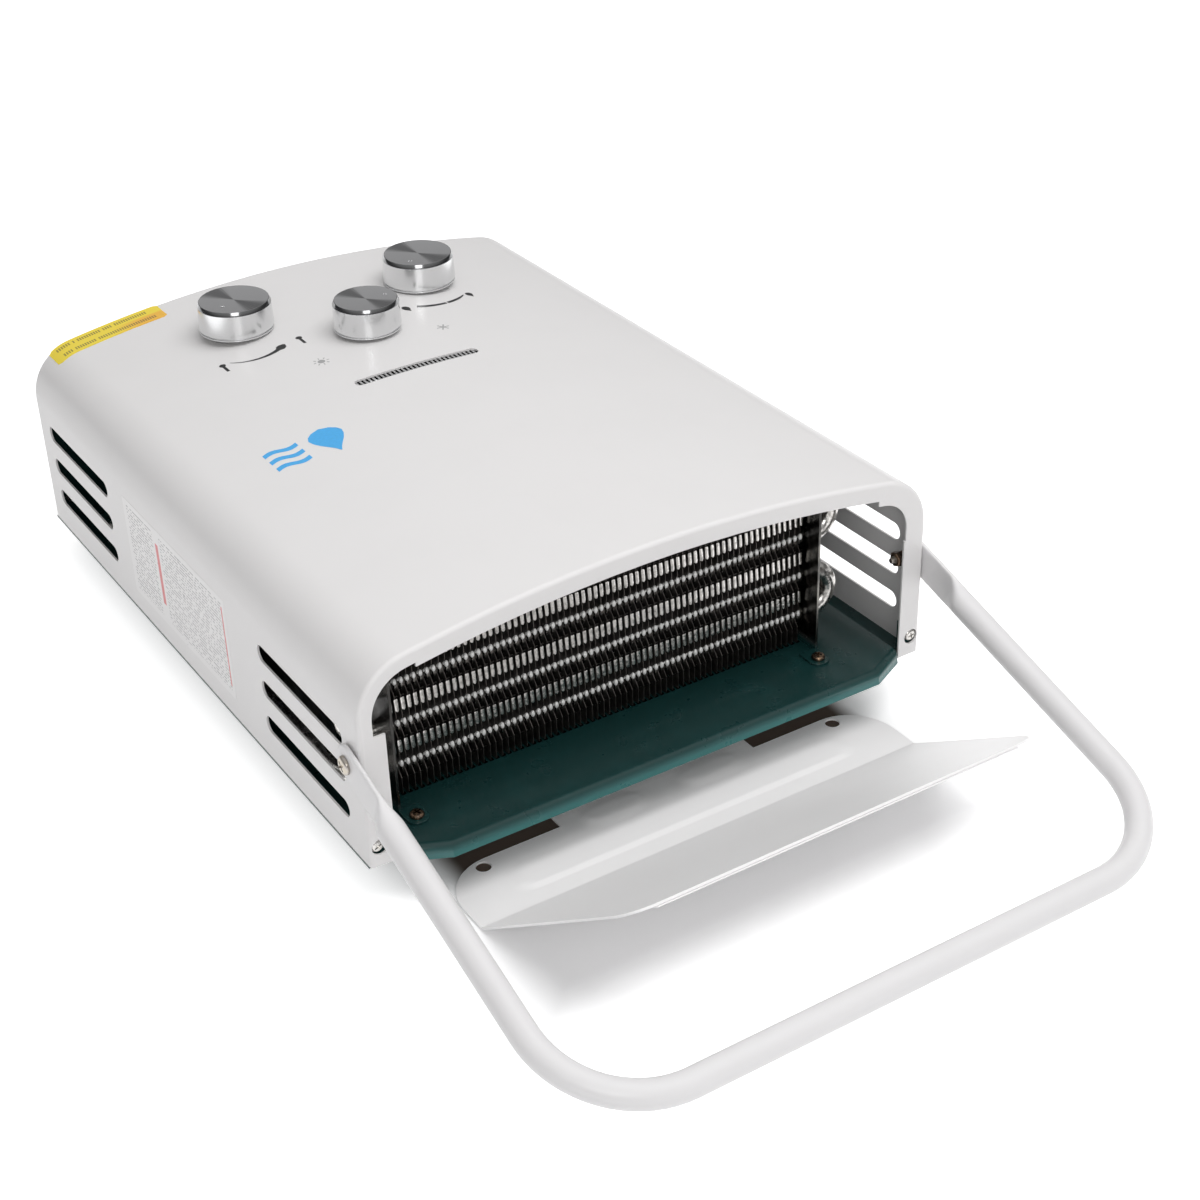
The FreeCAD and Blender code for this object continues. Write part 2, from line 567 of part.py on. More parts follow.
def back_panel():
    """A pressed tray behind the case, with its edge flange, screw tabs and the inlet end's plate."""
    body = new_body("panel_tray")
    edge = new_sketch(body, "XY_Plane", PANEL_LOW)
    half = "case_width / 2"
    outline(edge, [
        (f"-{half}", "tab_set"), (half, "tab_set"), (half, "case_length"), (f"-{half}", "case_length"),
    ])
    feature(body, "Pad", edge, Length="panel_sheet")
    for inset, lift, kind, deep in (
        ("0", PANEL_LOW, "Pad", f"{PAN} - {PANEL_LOW}"),
        ("panel_sheet", PANEL_LOW, "Pocket", f"{PAN} - panel_sheet - {PANEL_LOW}"),
    ):
        pan = new_sketch(body, "XY_Plane", lift)
        side = f"(case_width / 2 - pan_inset - {inset})"
        near = f"(-tongue + {inset})"
        far = f"({PLATE_Y} - pan_inset - {inset})"
        outline(pan, [
            (f"-{side}", far), (f"-{side}", f"{near} + tongue_slope"), (f"-{side} + tongue_cut", near),
            (f"{side} - tongue_cut", near), (side, f"{near} + tongue_slope"), (side, far),
        ])
        feature(body, kind, pan, Length=deep, Reversed=kind == "Pocket")
    end = new_sketch(body, "XZ_Plane", f"-{PLATE_Y}")
    arch(end, "end_inset", PANEL_LOW)
    feature(body, "Pad", end, Length="panel_sheet", Reversed=True)
    tabs = new_sketch(body, "XZ_Plane", "-tab_set")
    for side in ("", "-"):
        inner = f"{side}(case_width / 2 - lip_width + tab_hidden)"
        outer = f"{side}(case_width / 2 - tab_inset)"
        outline(tabs, [(inner, PANEL_LOW), (outer, PANEL_LOW), (outer, f"{PANEL_LOW} + tab_tall"),
                       (inner, f"{PANEL_LOW} + tab_tall")])
    feature(body, "Pad", tabs, Length="panel_sheet", Reversed=True)

    ears, holes = [], []
    for left in ("box_left + 2", f"{BOX_RIGHT} - 2 - ear_width"):
        ears.append(rod((left, PIN_Y, PIN_Z), "ear_width", "2 * ear_radius", "X"))
        ears.append(block((left, PLATE_Y, f"{PIN_Z} - ear_radius"),
                          ("ear_width", f"{PIN_Y} - {PLATE_Y}", "2 * ear_radius")))
    holes.append(rod(("box_left", PIN_Y, PIN_Z), f"{BOX_RIGHT} - box_left", "pin_width", "X"))
    start, through = f"{PLATE_Y} - 1", "panel_sheet + 2"
    holes.append(block(("box_left + box_wall", start, f"{BOX_LOW} + box_wall"),
                       (f"{BOX_RIGHT} - box_left - 2 * box_wall", through, f"{BOX_TALL} - 2 * box_wall")))
    for at_x, at_z in FITTINGS.values():
        holes.append(rod((at_x, start, at_z), through, f"{SEAT_WIDTH} + 4 * screw_gap", "Y"))
    holes.append(rod(("knob_spread", start, DRAIN_Z), through, "drain_width + 4 * screw_gap", "Y"))
    for side in (1, -1):
        for at_x, at_y in ((SCREW_X, "tab_set - 1"), (FAR_SCREW_X, start)):
            holes.append(rod((across(side, at_x, at_x), at_y, SCREW_Z), through, SHEET_HOLE, "Y"))
    for at_x, at_y in rail_screw_places() + foot_screw_places():
        holes.append(rod((at_x, at_y, f"{PAN} - panel_sheet - 1"), through, SHEET_HOLE))
    name_node(cut(fused([body, *ears]), holes), "back_panel")


def across(side, near, far):
    """Where a span that starts and ends at two distances from the middle begins, on the +X or -X side."""
    return f"({near})" if side > 0 else f"-({far})"


def cover_screws():
    """Pan head screws at the rim that hold the panel's tabs and plate, seen through holes in the lips."""
    screws = []
    long = "screw_head_tall + screw_reach"
    for side in (1, -1):
        near, far = across(side, SCREW_X, SCREW_X), across(side, FAR_SCREW_X, FAR_SCREW_X)
        screws.append(fused([
            rod((near, "tab_set - screw_head_tall", SCREW_Z), "screw_head_tall", "rim_head", "Y"),
            rod((near, "tab_set - screw_head_tall", SCREW_Z), long, "screw_width", "Y"),
        ]))
        screws.append(fused([
            rod((far, PLATE_OUT, SCREW_Z), "screw_head_tall", "rim_head", "Y"),
            rod((far, f"{PLATE_OUT} - screw_reach", SCREW_Z), long, "screw_width", "Y"),
        ]))
    name_node(group(screws), "cover_screws")


def window_mesh():
    """Fine mesh bent to the front's inside, behind the flame window."""
    body = new_body("mesh_band")
    outside = "cover_sheet + screw_gap"
    for inset, kind in ((outside, "Pad"), (f"{outside} + mesh_sheet", "Pocket")):
        section = new_sketch(body, "XZ_Plane", "-(window_station - mesh_width / 2)")
        arch(section, inset, "stand_off")
        feature(body, kind, section, Length="mesh_width", Reversed=kind == "Pad")
    strip = block(("-mesh_length / 2", "window_station - mesh_width / 2", f"{CROWN} - 10"),
                  ("mesh_length", "mesh_width", "10"))
    pitch, hole, rows = size("mesh_pitch"), size("mesh_hole"), 3
    columns = int(size("window_length") / pitch)
    low = Vector(-hole / 2, size("window_station") - hole / 2, worked_out(CROWN) - 11)
    tool = Part.makeBox(hole, hole, 12, low)
    tools = []
    for column in range(columns):
        for row in range(rows):
            shift = Vector((column - (columns - 1) / 2) * pitch, (row - (rows - 1) / 2) * pitch, 0)
            tools.append(tool.translated(shift))
    holes = doc.addObject("Part::Feature", "mesh_holes")
    holes.Shape = Part.makeCompound(tools)
    name_node(cut(shared(body, strip), [holes]), "window_mesh")


# ---------------------------------------------------------------- rails and hood


def rail_screw_places():
    """Where the rails' flanges are screwed to the panel."""
    return [(f"{side}(rail_length / 2 - 15)", f"{station} {way} (rail_web + rail_foot) / 2")
            for station in ("rail_near", "rail_far") for side in ("", "-") for way in ("+", "-")]


def rear_rail(label, station, low):
    """A hat section that holds the heater off the wall, with two keyholes to hang it by."""
    top = f"({PAN} - panel_sheet)"
    left, near, far = "-rail_length / 2", f"({station} - rail_web / 2)", f"({station} + rail_web / 2)"
    pieces = [block((left, near, low), ("rail_length", "rail_web", "rail_sheet"))]
    for side in (near, f"({far} - rail_sheet)"):
        pieces.append(block((left, side, low), ("rail_length", "rail_sheet", f"{top} - {low}")))
    for side in (f"({near} - rail_foot)", f"({far} - rail_sheet)"):
        foot = ("rail_length", "rail_foot + rail_sheet", "rail_sheet")
        pieces.append(block((left, side, f"{top} - rail_sheet"), foot))
    holes = []
    for side in ("", "-"):
        key_x = f"{side}(rail_length / 2 - key_inset)"
        holes.append(rod((key_x, station, f"{low} - 1"), "rail_sheet + 2", "key_head"))
        holes.append(block((f"{key_x} - key_slot / 2", f"{station} - key_drop", f"{low} - 1"),
                           ("key_slot", "key_drop", "rail_sheet + 2")))
        holes.append(rod((key_x, f"{station} - key_drop", f"{low} - 1"), "rail_sheet + 2", "key_slot"))
    for at_x, at_y in rail_screw_places():
        holes.append(rod((at_x, at_y, f"{top} - rail_sheet - 1"), "rail_sheet + 2", SHEET_HOLE))
    for side in ("", "-"):
        holes.append(rod((f"{side}rivet_spread", "rail_near", f"{low} - 1"), "rail_sheet + 2",
                         "rivet_width + 2 * screw_gap"))
    name_node(cut(fused(pieces), holes), label)


def rail_screws():
    """Screws through the rails' flanges into the panel."""
    low = f"({PAN} - panel_sheet - rail_sheet - screw_head_tall)"
    screws = [
        fused([
            rod((at_x, at_y, low), "screw_head_tall", "screw_head"),
            rod((at_x, at_y, low), f"{PAN} - {low}", "screw_width"),
        ])
        for at_x, at_y in rail_screw_places()
    ]
    name_node(group(screws), "rail_screws")


def rain_hood():
    """A bent plate on the wall plane: a tab under the near rail, a base, and a rising flange with a hem."""
    long = "sqrt(hood_run * hood_run + hood_climb * hood_climb)"
    over, up = f"(hood_run / {long})", f"(hood_climb / {long})"

    def on_flange(along, off):
        level = f"-hood_crease - ({along}) * {over} + ({off}) * {up}"
        return level, f"({along}) * {up} + ({off}) * {over}"

    section = new_body("hood_section")
    side = new_sketch(section, "YZ_Plane")
    outline(side, [
        ("tab_reach", "0"), ("tab_reach", "hood_sheet"),
        (f"-hood_crease + hood_sheet * hood_climb / ({long} + hood_run)", "hood_sheet"),
        on_flange(long, "hood_sheet"), on_flange(long, "-hood_sheet"),
        on_flange(f"{long} - hood_hem", "-hood_sheet"), on_flange(f"{long} - hood_hem", "0"),
        ("-hood_crease", "0"),
    ])
    feature(section, "Pad", side, Length="hood_width + 2", Midplane=True)

    plan = new_body("hood_plan")
    top = new_sketch(plan, "XY_Plane", "-1")
    half, edge = "(hood_width / 2)", "(hood_width / 2 - hood_taper)"
    tip = "(-hood_crease - hood_run - 2 * hood_sheet)"
    outline(top, [
        (f"-{half}", "-hood_crease"), (f"-{edge}", tip), (edge, tip), (half, "-hood_crease"),
        (half, "hood_back"), ("hood_tab", "hood_back"), ("hood_tab", "tab_reach"), ("-hood_tab", "tab_reach"),
        ("-hood_tab", "hood_back"), (f"-{half}", "hood_back"),
    ])
    prism = feature(plan, "Pad", top, Length="hood_climb + 10")

    def upright(edge, at_x, at_y):
        box = edge.BoundBox
        return box.ZLength > 5 and abs(abs(box.XMin) - at_x) < 0.01 and abs(box.YMin - at_y) < 0.01

    base = worked_out(half), size("hood_back")
    prism = round_edges(plan, prism, lambda item: upright(item, *base), "hood_corner")
    outer = worked_out(edge), worked_out(tip)
    prism = round_edges(plan, prism, lambda item: upright(item, *outer), "hood_corner / 2")
    end = size("hood_tab"), size("tab_reach")
    round_edges(plan, prism, lambda item: upright(item, *end), "hood_corner / 4")

    holes = []
    for side in ("", "-"):
        holes.append(rod((f"{side}hood_hole_spread", "hood_back - 5", "-1"), "hood_sheet + 2", "hood_hole"))
        at = f"{side}rivet_spread", "rail_near", "-1"
        holes.append(rod(at, "hood_sheet + 2", "rivet_width + 2 * screw_gap"))
    name_node(cut(shared(section, plan), holes), "rain_hood")


def hood_rivets():
    """Flat rivets that hold the hood's tab to the near rail."""
    rivets = []
    for side in ("", "-"):
        at = f"{side}rivet_spread", "rail_near"
        rivets.append(fused([
            rod((*at, "0"), "hood_sheet + rail_sheet + rivet_head_tall / 2", "rivet_width"),
            rod((*at, "hood_sheet + rail_sheet"), "rivet_head_tall", "2 * rivet_width"),
        ]))
    name_node(group(rivets), "hood_rivets")


# ---------------------------------------------------------------- carry handle


def bent_path(sketch, points, bend):
    """Straight runs joined at square corners by arcs of one radius."""
    places = [Vector(worked_out(x), worked_out(y), 0) for x, y in points]
    radius = worked_out(bend)
    start, arcs = places[0], []
    for number in range(1, len(points) - 1):
        corner = places[number]
        back = (places[number - 1] - corner).normalize() * radius
        ahead = (places[number + 1] - corner).normalize() * radius
        sketch.addGeometry(Part.LineSegment(start, corner + back))
        inside = back + ahead
        half = corner + inside * (1 - math.sqrt(0.5))
        arc = sketch.addGeometry(Part.Arc(corner + back, half, corner + ahead))
        near_end = 1 if sketch.getPoint(arc, 1).isEqual(corner + back, 1e-6) else 2
        middle = [f"{text} {'+' if way > 0 else '-'} ({bend})" for text, way in zip(points[number], inside)]
        arcs.append((arc, near_end, middle))
        start = corner + ahead
    last = sketch.addGeometry(Part.LineSegment(start, places[-1]))
    for arc, near_end, middle in arcs:
        sketch.addConstraint(Sketcher.Constraint("Tangent", arc - 1, 2, arc, near_end))
        sketch.addConstraint(Sketcher.Constraint("Tangent", arc, 3 - near_end, arc + 1, 1))
        pin_point(sketch, arc, 3, middle)
        number = sketch.addConstraint(Sketcher.Constraint("Radius", arc, radius))
        sketch.setExpression(f"Constraints[{number}]", bound(bend))
    pin_point(sketch, arcs[0][0] - 1, 1, points[0])
    pin_point(sketch, last, 2, points[-1])


def swept_bar(name, points, bend, width, height, role, lift):
    """A round bar along a level path; the path leaves a plane of the body squarely."""
    body = new_body(name)
    path = new_sketch(body, "XY_Plane", height)
    bent_path(path, points, bend)
    profile = new_sketch(body, role, lift)
    circle(profile, (points[0][0] if role == "XZ_Plane" else points[0][1], height), width)
    pipe = body.newObject("PartDesign::AdditivePipe", "pipe")
    pipe.Profile = profile
    pipe.Spine = (path, [])
    doc.recompute()
    return body


def bent_tube(name, points, bend, width, wall, height, role, lift):
    """A hollow round tube: one swept bar cut out of another."""
    outside = swept_bar(name + "_outside", points, bend, width, height, role, lift)
    inside = swept_bar(name + "_inside", points, bend, f"{width} - 2 * {wall}", height, role, lift)
    return cut(outside, [inside])


def carry_handle():
    """A bent tube with flattened ends that turn on the pivot bolts; friction holds it down at rest."""
    path = [(f"-{HANDLE_X}", "-flat_length"), (f"-{HANDLE_X}", "-handle_reach"), (HANDLE_X, "-handle_reach"),
            (HANDLE_X, "-flat_length")]
    pieces = [bent_tube("handle_tube", path, "handle_bend", "handle_tube", "handle_wall", "0", "XZ_Plane",
                        "flat_length")]
    for side in (1, -1):
        face = across(side, f"{HANDLE_X} - flat_sheet / 2", f"{HANDLE_X} + flat_sheet / 2")
        flat = ("flat_sheet", "flat_length", "flat_width")
        pieces.append(block((face, "-flat_length", "-flat_width / 2"), flat))
        for station in ("0", "-flat_length"):
            pieces.append(rod((face, station, "0"), "flat_sheet", "flat_width", "X"))
    eyes = rod(("-case_width", "0", "0"), "2 * case_width", "pivot_bolt + 2 * running_gap", "X")
    handle = cut(fused(pieces), [eyes])
    handle.Placement = Placement(Vector(), Rotation(Vector(1, 0, 0), 1))
    dip = f"asin(({PIVOT_Z} - handle_rest) / handle_reach)"
    handle.setExpression(".Placement.Rotation.Angle", bound(dip))
    name_node(handle, "carry_handle", ("0", "pivot_station", PIVOT_Z))


def handle_pivots():
    """Bolts, friction washers and nuts at the two pivots."""
    bolts, washers, nuts = [], [], []
    seat = f"({HANDLE_X} + flat_sheet / 2 + running_gap)"
    inside = "(case_width / 2 - cover_sheet)"
    for side in (1, -1):
        def span(near, long, width, make=rod, side=side):
            start = across(side, near, f"{near} + {long}")
            return make((start, "pivot_station", PIVOT_Z), long, width, "X")

        bolts.append(fused([
            span(seat, "bolt_head_tall", "bolt_head"),
            span(f"({inside} - nut_thick - 3)", f"({seat} - {inside} + nut_thick + 4)", "pivot_bolt"),
        ]))
        hole = "pivot_bolt + 2 * running_gap"
        washers.append(cut(span("(case_width / 2)", "(flat_gap - running_gap)", "2 * pivot_bolt + 2"),
                           [span("(case_width / 2 - 1)", "4", hole)]))
        nuts.append(cut(span(f"({inside} - nut_thick)", "nut_thick", "nut_flats", hexagon),
                        [span(f"({inside} - nut_thick - 1)", "nut_thick + 2", hole)]))
    name_node(group(bolts), "handle_bolts")
    name_node(group(washers), "handle_washers")
    name_node(group(nuts), "handle_nuts")


# ---------------------------------------------------------------- knobs and valves

KNOBS = (("-knob_spread", "knob_station"), ("knob_spread", "knob_station"), ("0", "season_station"))


def front_at(offset):
    """The height of the arched front at a distance from the middle."""
    return f"({CROWN} - arch_radius + sqrt(arch_radius * arch_radius - {offset} * {offset}))"


def knob(label, at, width, offset, pointer):
    """A turned knob with a bevelled edge, a hollow skirt, a spindle bore and a pointer dimple."""
    body = new_body(label + "_turned")
    side = new_sketch(body, "XZ_Plane")
    radius, hub = f"({width} / 2)", "(spindle_width / 2)"
    outline(side, [
        (hub, "knob_skirt"), (f"{radius} - knob_wall", "knob_skirt"), (f"{radius} - knob_wall", "0"),
        (radius, "0"), (radius, "knob_tall - knob_bevel"), (f"{radius} - knob_bevel", "knob_tall"),
        ("0", "knob_tall"), ("0", "knob_tall - knob_crown"), (hub, "knob_tall - knob_crown"),
    ])
    turned = body.newObject("PartDesign::Revolution", "revolution")
    turned.Profile = side
    turned.ReferenceAxis = (side, ["V_Axis"])
    turned.Angle = 360
    doc.recompute()
    dimple = new_sketch(body, "XY_Plane", "knob_tall")
    reach = f"({radius} * 0.6)"
    circle(dimple, (f"{reach} * cos({pointer})", f"{reach} * sin({pointer})"), "dimple_width")
    feature(body, "Pocket", dimple, Length="dimple_depth")
    name_node(body, label, (*at, f"{front_at(offset)} + knob_gap"))


def spindle(label, at, offset):
    """The steel spindle that joins a knob to its valve."""
    low = f"({NECK_TOP} - neck_bore)"
    top = f"({front_at(offset)} + knob_gap + knob_tall - knob_crown)"
    name_node(rod((*at, low), f"{top} - {low}", "spindle_width"), label)


def neck(at, low):
    """A valve's neck under its knob, and the bore that the spindle turns in."""
    post = rod((*at, low), f"{NECK_TOP} - {low}", "neck_width")
    bore = rod((*at, f"{NECK_TOP} - neck_bore"), "neck_bore + 1", "spindle_width + 2 * running_gap")
    return post, bore


def valves():
    """The gas valve, its solenoid, the season valve and the water valve with its diaphragm cover."""
    gas, season, water = KNOBS[0], KNOBS[2], KNOBS[1]
    gas_low = f"({PAN} + valve_lift)"
    post, bore = neck(gas, f"({gas_low} + valve_tall - 1)")
    body = block((f"{gas[0]} - valve_width / 2", f"{gas[1]} - valve_width / 2", gas_low),
                 ("valve_width", "valve_width", "valve_tall"))
    name_node(cut(fused([body, post]), [bore]), "gas_valve")
    under = gas[0], f"{gas[1]} - (valve_width - neck_width) / 2", f"{gas_low} - solenoid_tall"
    name_node(rod(under, "solenoid_tall", "solenoid_width"), "gas_solenoid")

    far = f"({MANIFOLD_Y} + manifold_size)"
    post, bore = neck(season, f"({MANIFOLD_Z} + valve_tall / 2 - 1)")
    body = block(("-neck_width", far, f"{MANIFOLD_Z} - valve_tall / 2"),
                 ("2 * neck_width", f"2 * ({season[1]} - {far})", "valve_tall"))
    name_node(cut(fused([body, post]), [bore]), "season_valve")

    face = "(knob_spread - body_thick / 2)"
    skin = f"({face} + body_thick)"
    lid_x = f"({skin} + diaphragm_sheet)"
    sunk = "(diaphragm_width / 2 - chamber_depth)"
    post, bore = neck(water, f"({VALVE_Z} + {sunk})")
    rear = f"(knob_station + {sunk})"
    drain_start = "(knob_station + switch_size)"
    body = fused([
        rod((face, "knob_station", VALVE_Z), "body_thick", "diaphragm_width", "X"), post,
        rod(("knob_spread", rear, VALVE_Z), f"{COLD_START} - {rear}", "body_thick", "Y"),
        rod(("knob_spread", drain_start, DRAIN_Z), f"{DRAIN_START} - {drain_start}", "drain_width", "Y"),
    ])
    lid = rod((lid_x, "knob_station", VALVE_Z), "lid_thick", "diaphragm_width", "X")
    holes, screws = [], []
    for way_y in (1, -1):
        for way_z in (1, -1):
            at = f"knob_station + {way_y} * lid_screw", f"{VALVE_Z} + {way_z} * lid_screw"
            long = f"{lid_x} + lid_thick - {skin} + screw_bite"
            holes.append(rod((f"{skin} - screw_bite", *at), "2 * screw_bite + lid_thick", SHEET_HOLE, "X"))
            screws.append(fused([
                rod((f"{skin} - screw_bite + 1", *at), long, "screw_width", "X"),
                rod((f"{lid_x} + lid_thick", *at), "screw_head_tall", "screw_head", "X"),
            ]))
    chamber = rod((f"{skin} - chamber_depth", "knob_station", VALVE_Z),
                  "2 * chamber_depth + diaphragm_sheet", "chamber_width", "X")
    name_node(cut(body, [bore, chamber, *holes]), "water_valve")
    name_node(cut(lid, [chamber, *holes]), "diaphragm_cover")
    disc = rod((skin, "knob_station", VALVE_Z), "diaphragm_sheet", "diaphragm_width", "X")
    name_node(cut(disc, holes), "diaphragm")
    name_node(group(screws), "diaphragm_screws")
    name_node(block((f"{lid_x} + lid_thick", "knob_station - switch_size", f"{VALVE_Z} - switch_size / 2"),
                    ("switch_size / 2", "2 * switch_size", "switch_size")), "micro_switch")


# ---------------------------------------------------------------- heat exchanger


def tube_heights():
    """The heights of the four water tubes."""
    return [f"({TUBE_LOW} + {number} * tube_pitch)" for number in range(4)]


def fin_pack():
    """Thin fins on the water tubes, as many separate plates."""
    fin = Part.makeBox(size("fin_sheet"), size("fin_depth"), size("fin_tall"),
                       Vector(-size("fin_sheet") / 2, size("fin_face"), worked_out(FIN_LOW)))
    radius = size("tube_width") / 2 + size("screw_gap")
    for height in tube_heights():
        start = Vector(-1, worked_out(TUBE_Y), worked_out(height))
        fin = fin.cut(Part.makeCylinder(radius, 2, start, Vector(1, 0, 0)))
    stack = [fin.translated(Vector(size("fin_left") + number * size("fin_pitch"), 0, 0))
             for number in range(1, int(size("fin_count")) + 1)]
    pack = doc.addObject("Part::Feature", "fins")
    pack.Shape = Part.makeCompound(stack)
    name_node(pack, "fin_pack")


def exchanger():
    """Water tubes, return bends and the two end plates with their feet and screws."""
    tubes, left = [], "(fin_left - plate_sheet - tube_stub)"
    right = f"({FIN_RIGHT} + plate_sheet + tube_reach)"
    long = f"{right} - {left}"
    for height in tube_heights():
        bore = rod((f"{left} - 1", TUBE_Y, height), f"{long} + 2", "tube_width - 2 * tube_wall", "X")
        tubes.append(cut(rod((left, TUBE_Y, height), long, "tube_width", "X"), [bore]))
    name_node(group(tubes), "exchanger_tubes")

    to_right = Rotation(Vector(0, 0, 1), Vector(1, 0, 0), Vector(0, 1, 0), "ZXY")
    to_left = Rotation(Vector(0, 0, 1), Vector(-1, 0, 0), Vector(0, -1, 0), "ZXY")
    bends = []
    for lower, at_x, turn in ((0, right, to_right), (2, right, to_right), (1, left, to_left)):
        bend = doc.addObject("Part::Torus", "bend")
        bind(bend, Radius1="tube_pitch / 2", Radius2="tube_width / 2")
        bend.Angle3 = 180
        bends.append(place(bend, (at_x, TUBE_Y, f"{TUBE_LOW} + {lower + 0.5} * tube_pitch"), turn))
    name_node(group(bends), "return_bends")

    plate = "plate_sheet", f"{CHAMBER_Y} - fin_face + plate_lead", f"{CHAMBER_TOP} - {PAN}"
    foot = "foot_width", "plate_foot + plate_sheet", "plate_sheet"
    front = "fin_face - plate_lead"
    for label, face, foot_x in (("left_end_plate", "fin_left - plate_sheet", "fin_left - plate_sheet"),
                                ("right_end_plate", FIN_RIGHT, f"{FIN_RIGHT} + plate_sheet - foot_width")):
        pieces = [block((face, front, PAN), plate), block((foot_x, f"{front} - plate_foot", PAN), foot)]
        holes = [rod((f"{face} - 1", TUBE_Y, height), "plate_sheet + 2", "tube_width + 2 * screw_gap", "X")
                 for height in tube_heights()]
        for at_x, at_y in foot_screw_places():
            holes.append(rod((at_x, at_y, f"{PAN} - 1"), "plate_sheet + 2", SHEET_HOLE))
        name_node(cut(fused(pieces), holes), label)
    reach = "screw_head_tall + screw_reach / 2"
    screws = [
        fused([
            rod((at_x, at_y, f"{PAN} + plate_sheet"), "screw_head_tall", "screw_head"),
            rod((at_x, at_y, f"{PAN} - screw_reach / 2"), f"plate_sheet + {reach}", "screw_width"),
        ])
        for at_x, at_y in foot_screw_places()
    ]
    name_node(group(screws), "exchanger_screws")


def foot_screw_places():
    """Where the end plates' feet are screwed to the pan."""
    station = "fin_face - plate_lead - plate_foot + foot_width / 2"
    right, left = f"{FIN_RIGHT} + plate_sheet - foot_width / 2", "fin_left - plate_sheet + foot_width / 2"
    return [(right, station), (left, station)]


# ---------------------------------------------------------------- burner


def burner():
    """The combustion chamber, burner bars in their frame, the manifold and its jets."""
    wide = f"({FIN_RIGHT} - fin_left)"
    tall = f"({CHAMBER_TOP} - {PAN})"
    shell = block(("fin_left - chamber_sheet", CHAMBER_Y, PAN),
                  (f"{wide} + 2 * chamber_sheet", "chamber_length", tall))
    hollow = block(("fin_left", f"{CHAMBER_Y} - 1", f"{PAN} + chamber_sheet"),
                   (wide, "chamber_length + 2", f"{tall} - 2 * chamber_sheet"))
    probes = [(f"{side}probe_spread", f"{BURNER_Y} - probe_inset") for side in ("-", "")]
    probe_holes = [rod((*at, f"{CHAMBER_TOP} - 5"), "10", "probe_width + 2 * screw_gap") for at in probes]
    name_node(cut(shell, [hollow, *probe_holes]), "combustion_chamber")
    for label, at in zip(("ignition_electrode", "flame_sensor"), probes):
        name_node(fused([
            rod((*at, f"{CHAMBER_TOP} - probe_depth"), "probe_length", "probe_width"),
            rod((*at, CHAMBER_TOP), "probe_collar", "2 * probe_width"),
        ]), label)
    switch = f"{FIN_RIGHT} + chamber_sheet", f"{CHAMBER_Y} + switch_station", f"{PAN} + switch_rise"
    name_node(rod(switch, "switch_thick", "switch_size", "X"), "overheat_switch")

    long = "(burner_length + jet_gap + manifold_size)"
    floor = (f"{wide} + 2 * plate_sheet", "burner_length", "plate_sheet")
    frame = [block(("fin_left - plate_sheet", BURNER_Y, PAN), floor)]
    for at_x in ("fin_left - plate_sheet", FIN_RIGHT):
        frame.append(block((at_x, BURNER_Y, PAN), ("plate_sheet", long, "burner_tall + plate_sheet")))
    name_node(fused(frame), "burner_frame")

    bars, jets = [], []
    count = int(size("burner_count"))
    outside = ("burner_thick", "burner_length", "burner_tall")
    inside = [f"{extent} - 2 * chamber_sheet" for extent in outside]
    for number in range(count):
        at_x = f"({MIDDLE} + {number - (count - 1) / 2} * burner_pitch)"
        low = f"{at_x} - burner_thick / 2", BURNER_Y, f"{PAN} + plate_sheet"
        bar = block(low, outside)
        hollow = block([f"{text} + chamber_sheet" for text in low], inside)
        throat = rod((at_x, f"{BURNER_Y} + burner_length - 2", MANIFOLD_Z), "3", "burner_thick - 5", "Y")
        slots = [block((f"{low[0]} + 2", f"{BURNER_Y} - 1", f"{PAN} + port_rise + {port} * port_pitch"),
                       ("burner_thick - 4", "chamber_sheet + 2", "port_tall"))
                 for port in range(int(size("port_count")))]
        bars.append(cut(bar, [hollow, throat, *slots]))
        tip = at_x, f"{MANIFOLD_Y} - jet_gap + 1", MANIFOLD_Z
        jets.append(rod(tip, "jet_gap - 1", "burner_thick / 2", "Y"))
    name_node(group(bars), "burner_bars")
    name_node(group(jets), "gas_jets")
    name_node(block(("fin_left", MANIFOLD_Y, f"{MANIFOLD_Z} - manifold_size / 2"),
                    (wide, "manifold_size", "manifold_size")), "gas_manifold")


# ---------------------------------------------------------------- pipes and fittings

FITTINGS = {
    "gas_inlet": ("-knob_spread", MANIFOLD_Z),
    "cold_inlet": ("knob_spread", VALVE_Z),
    "hot_outlet": ("-hot_offset", HOT_Z),
}


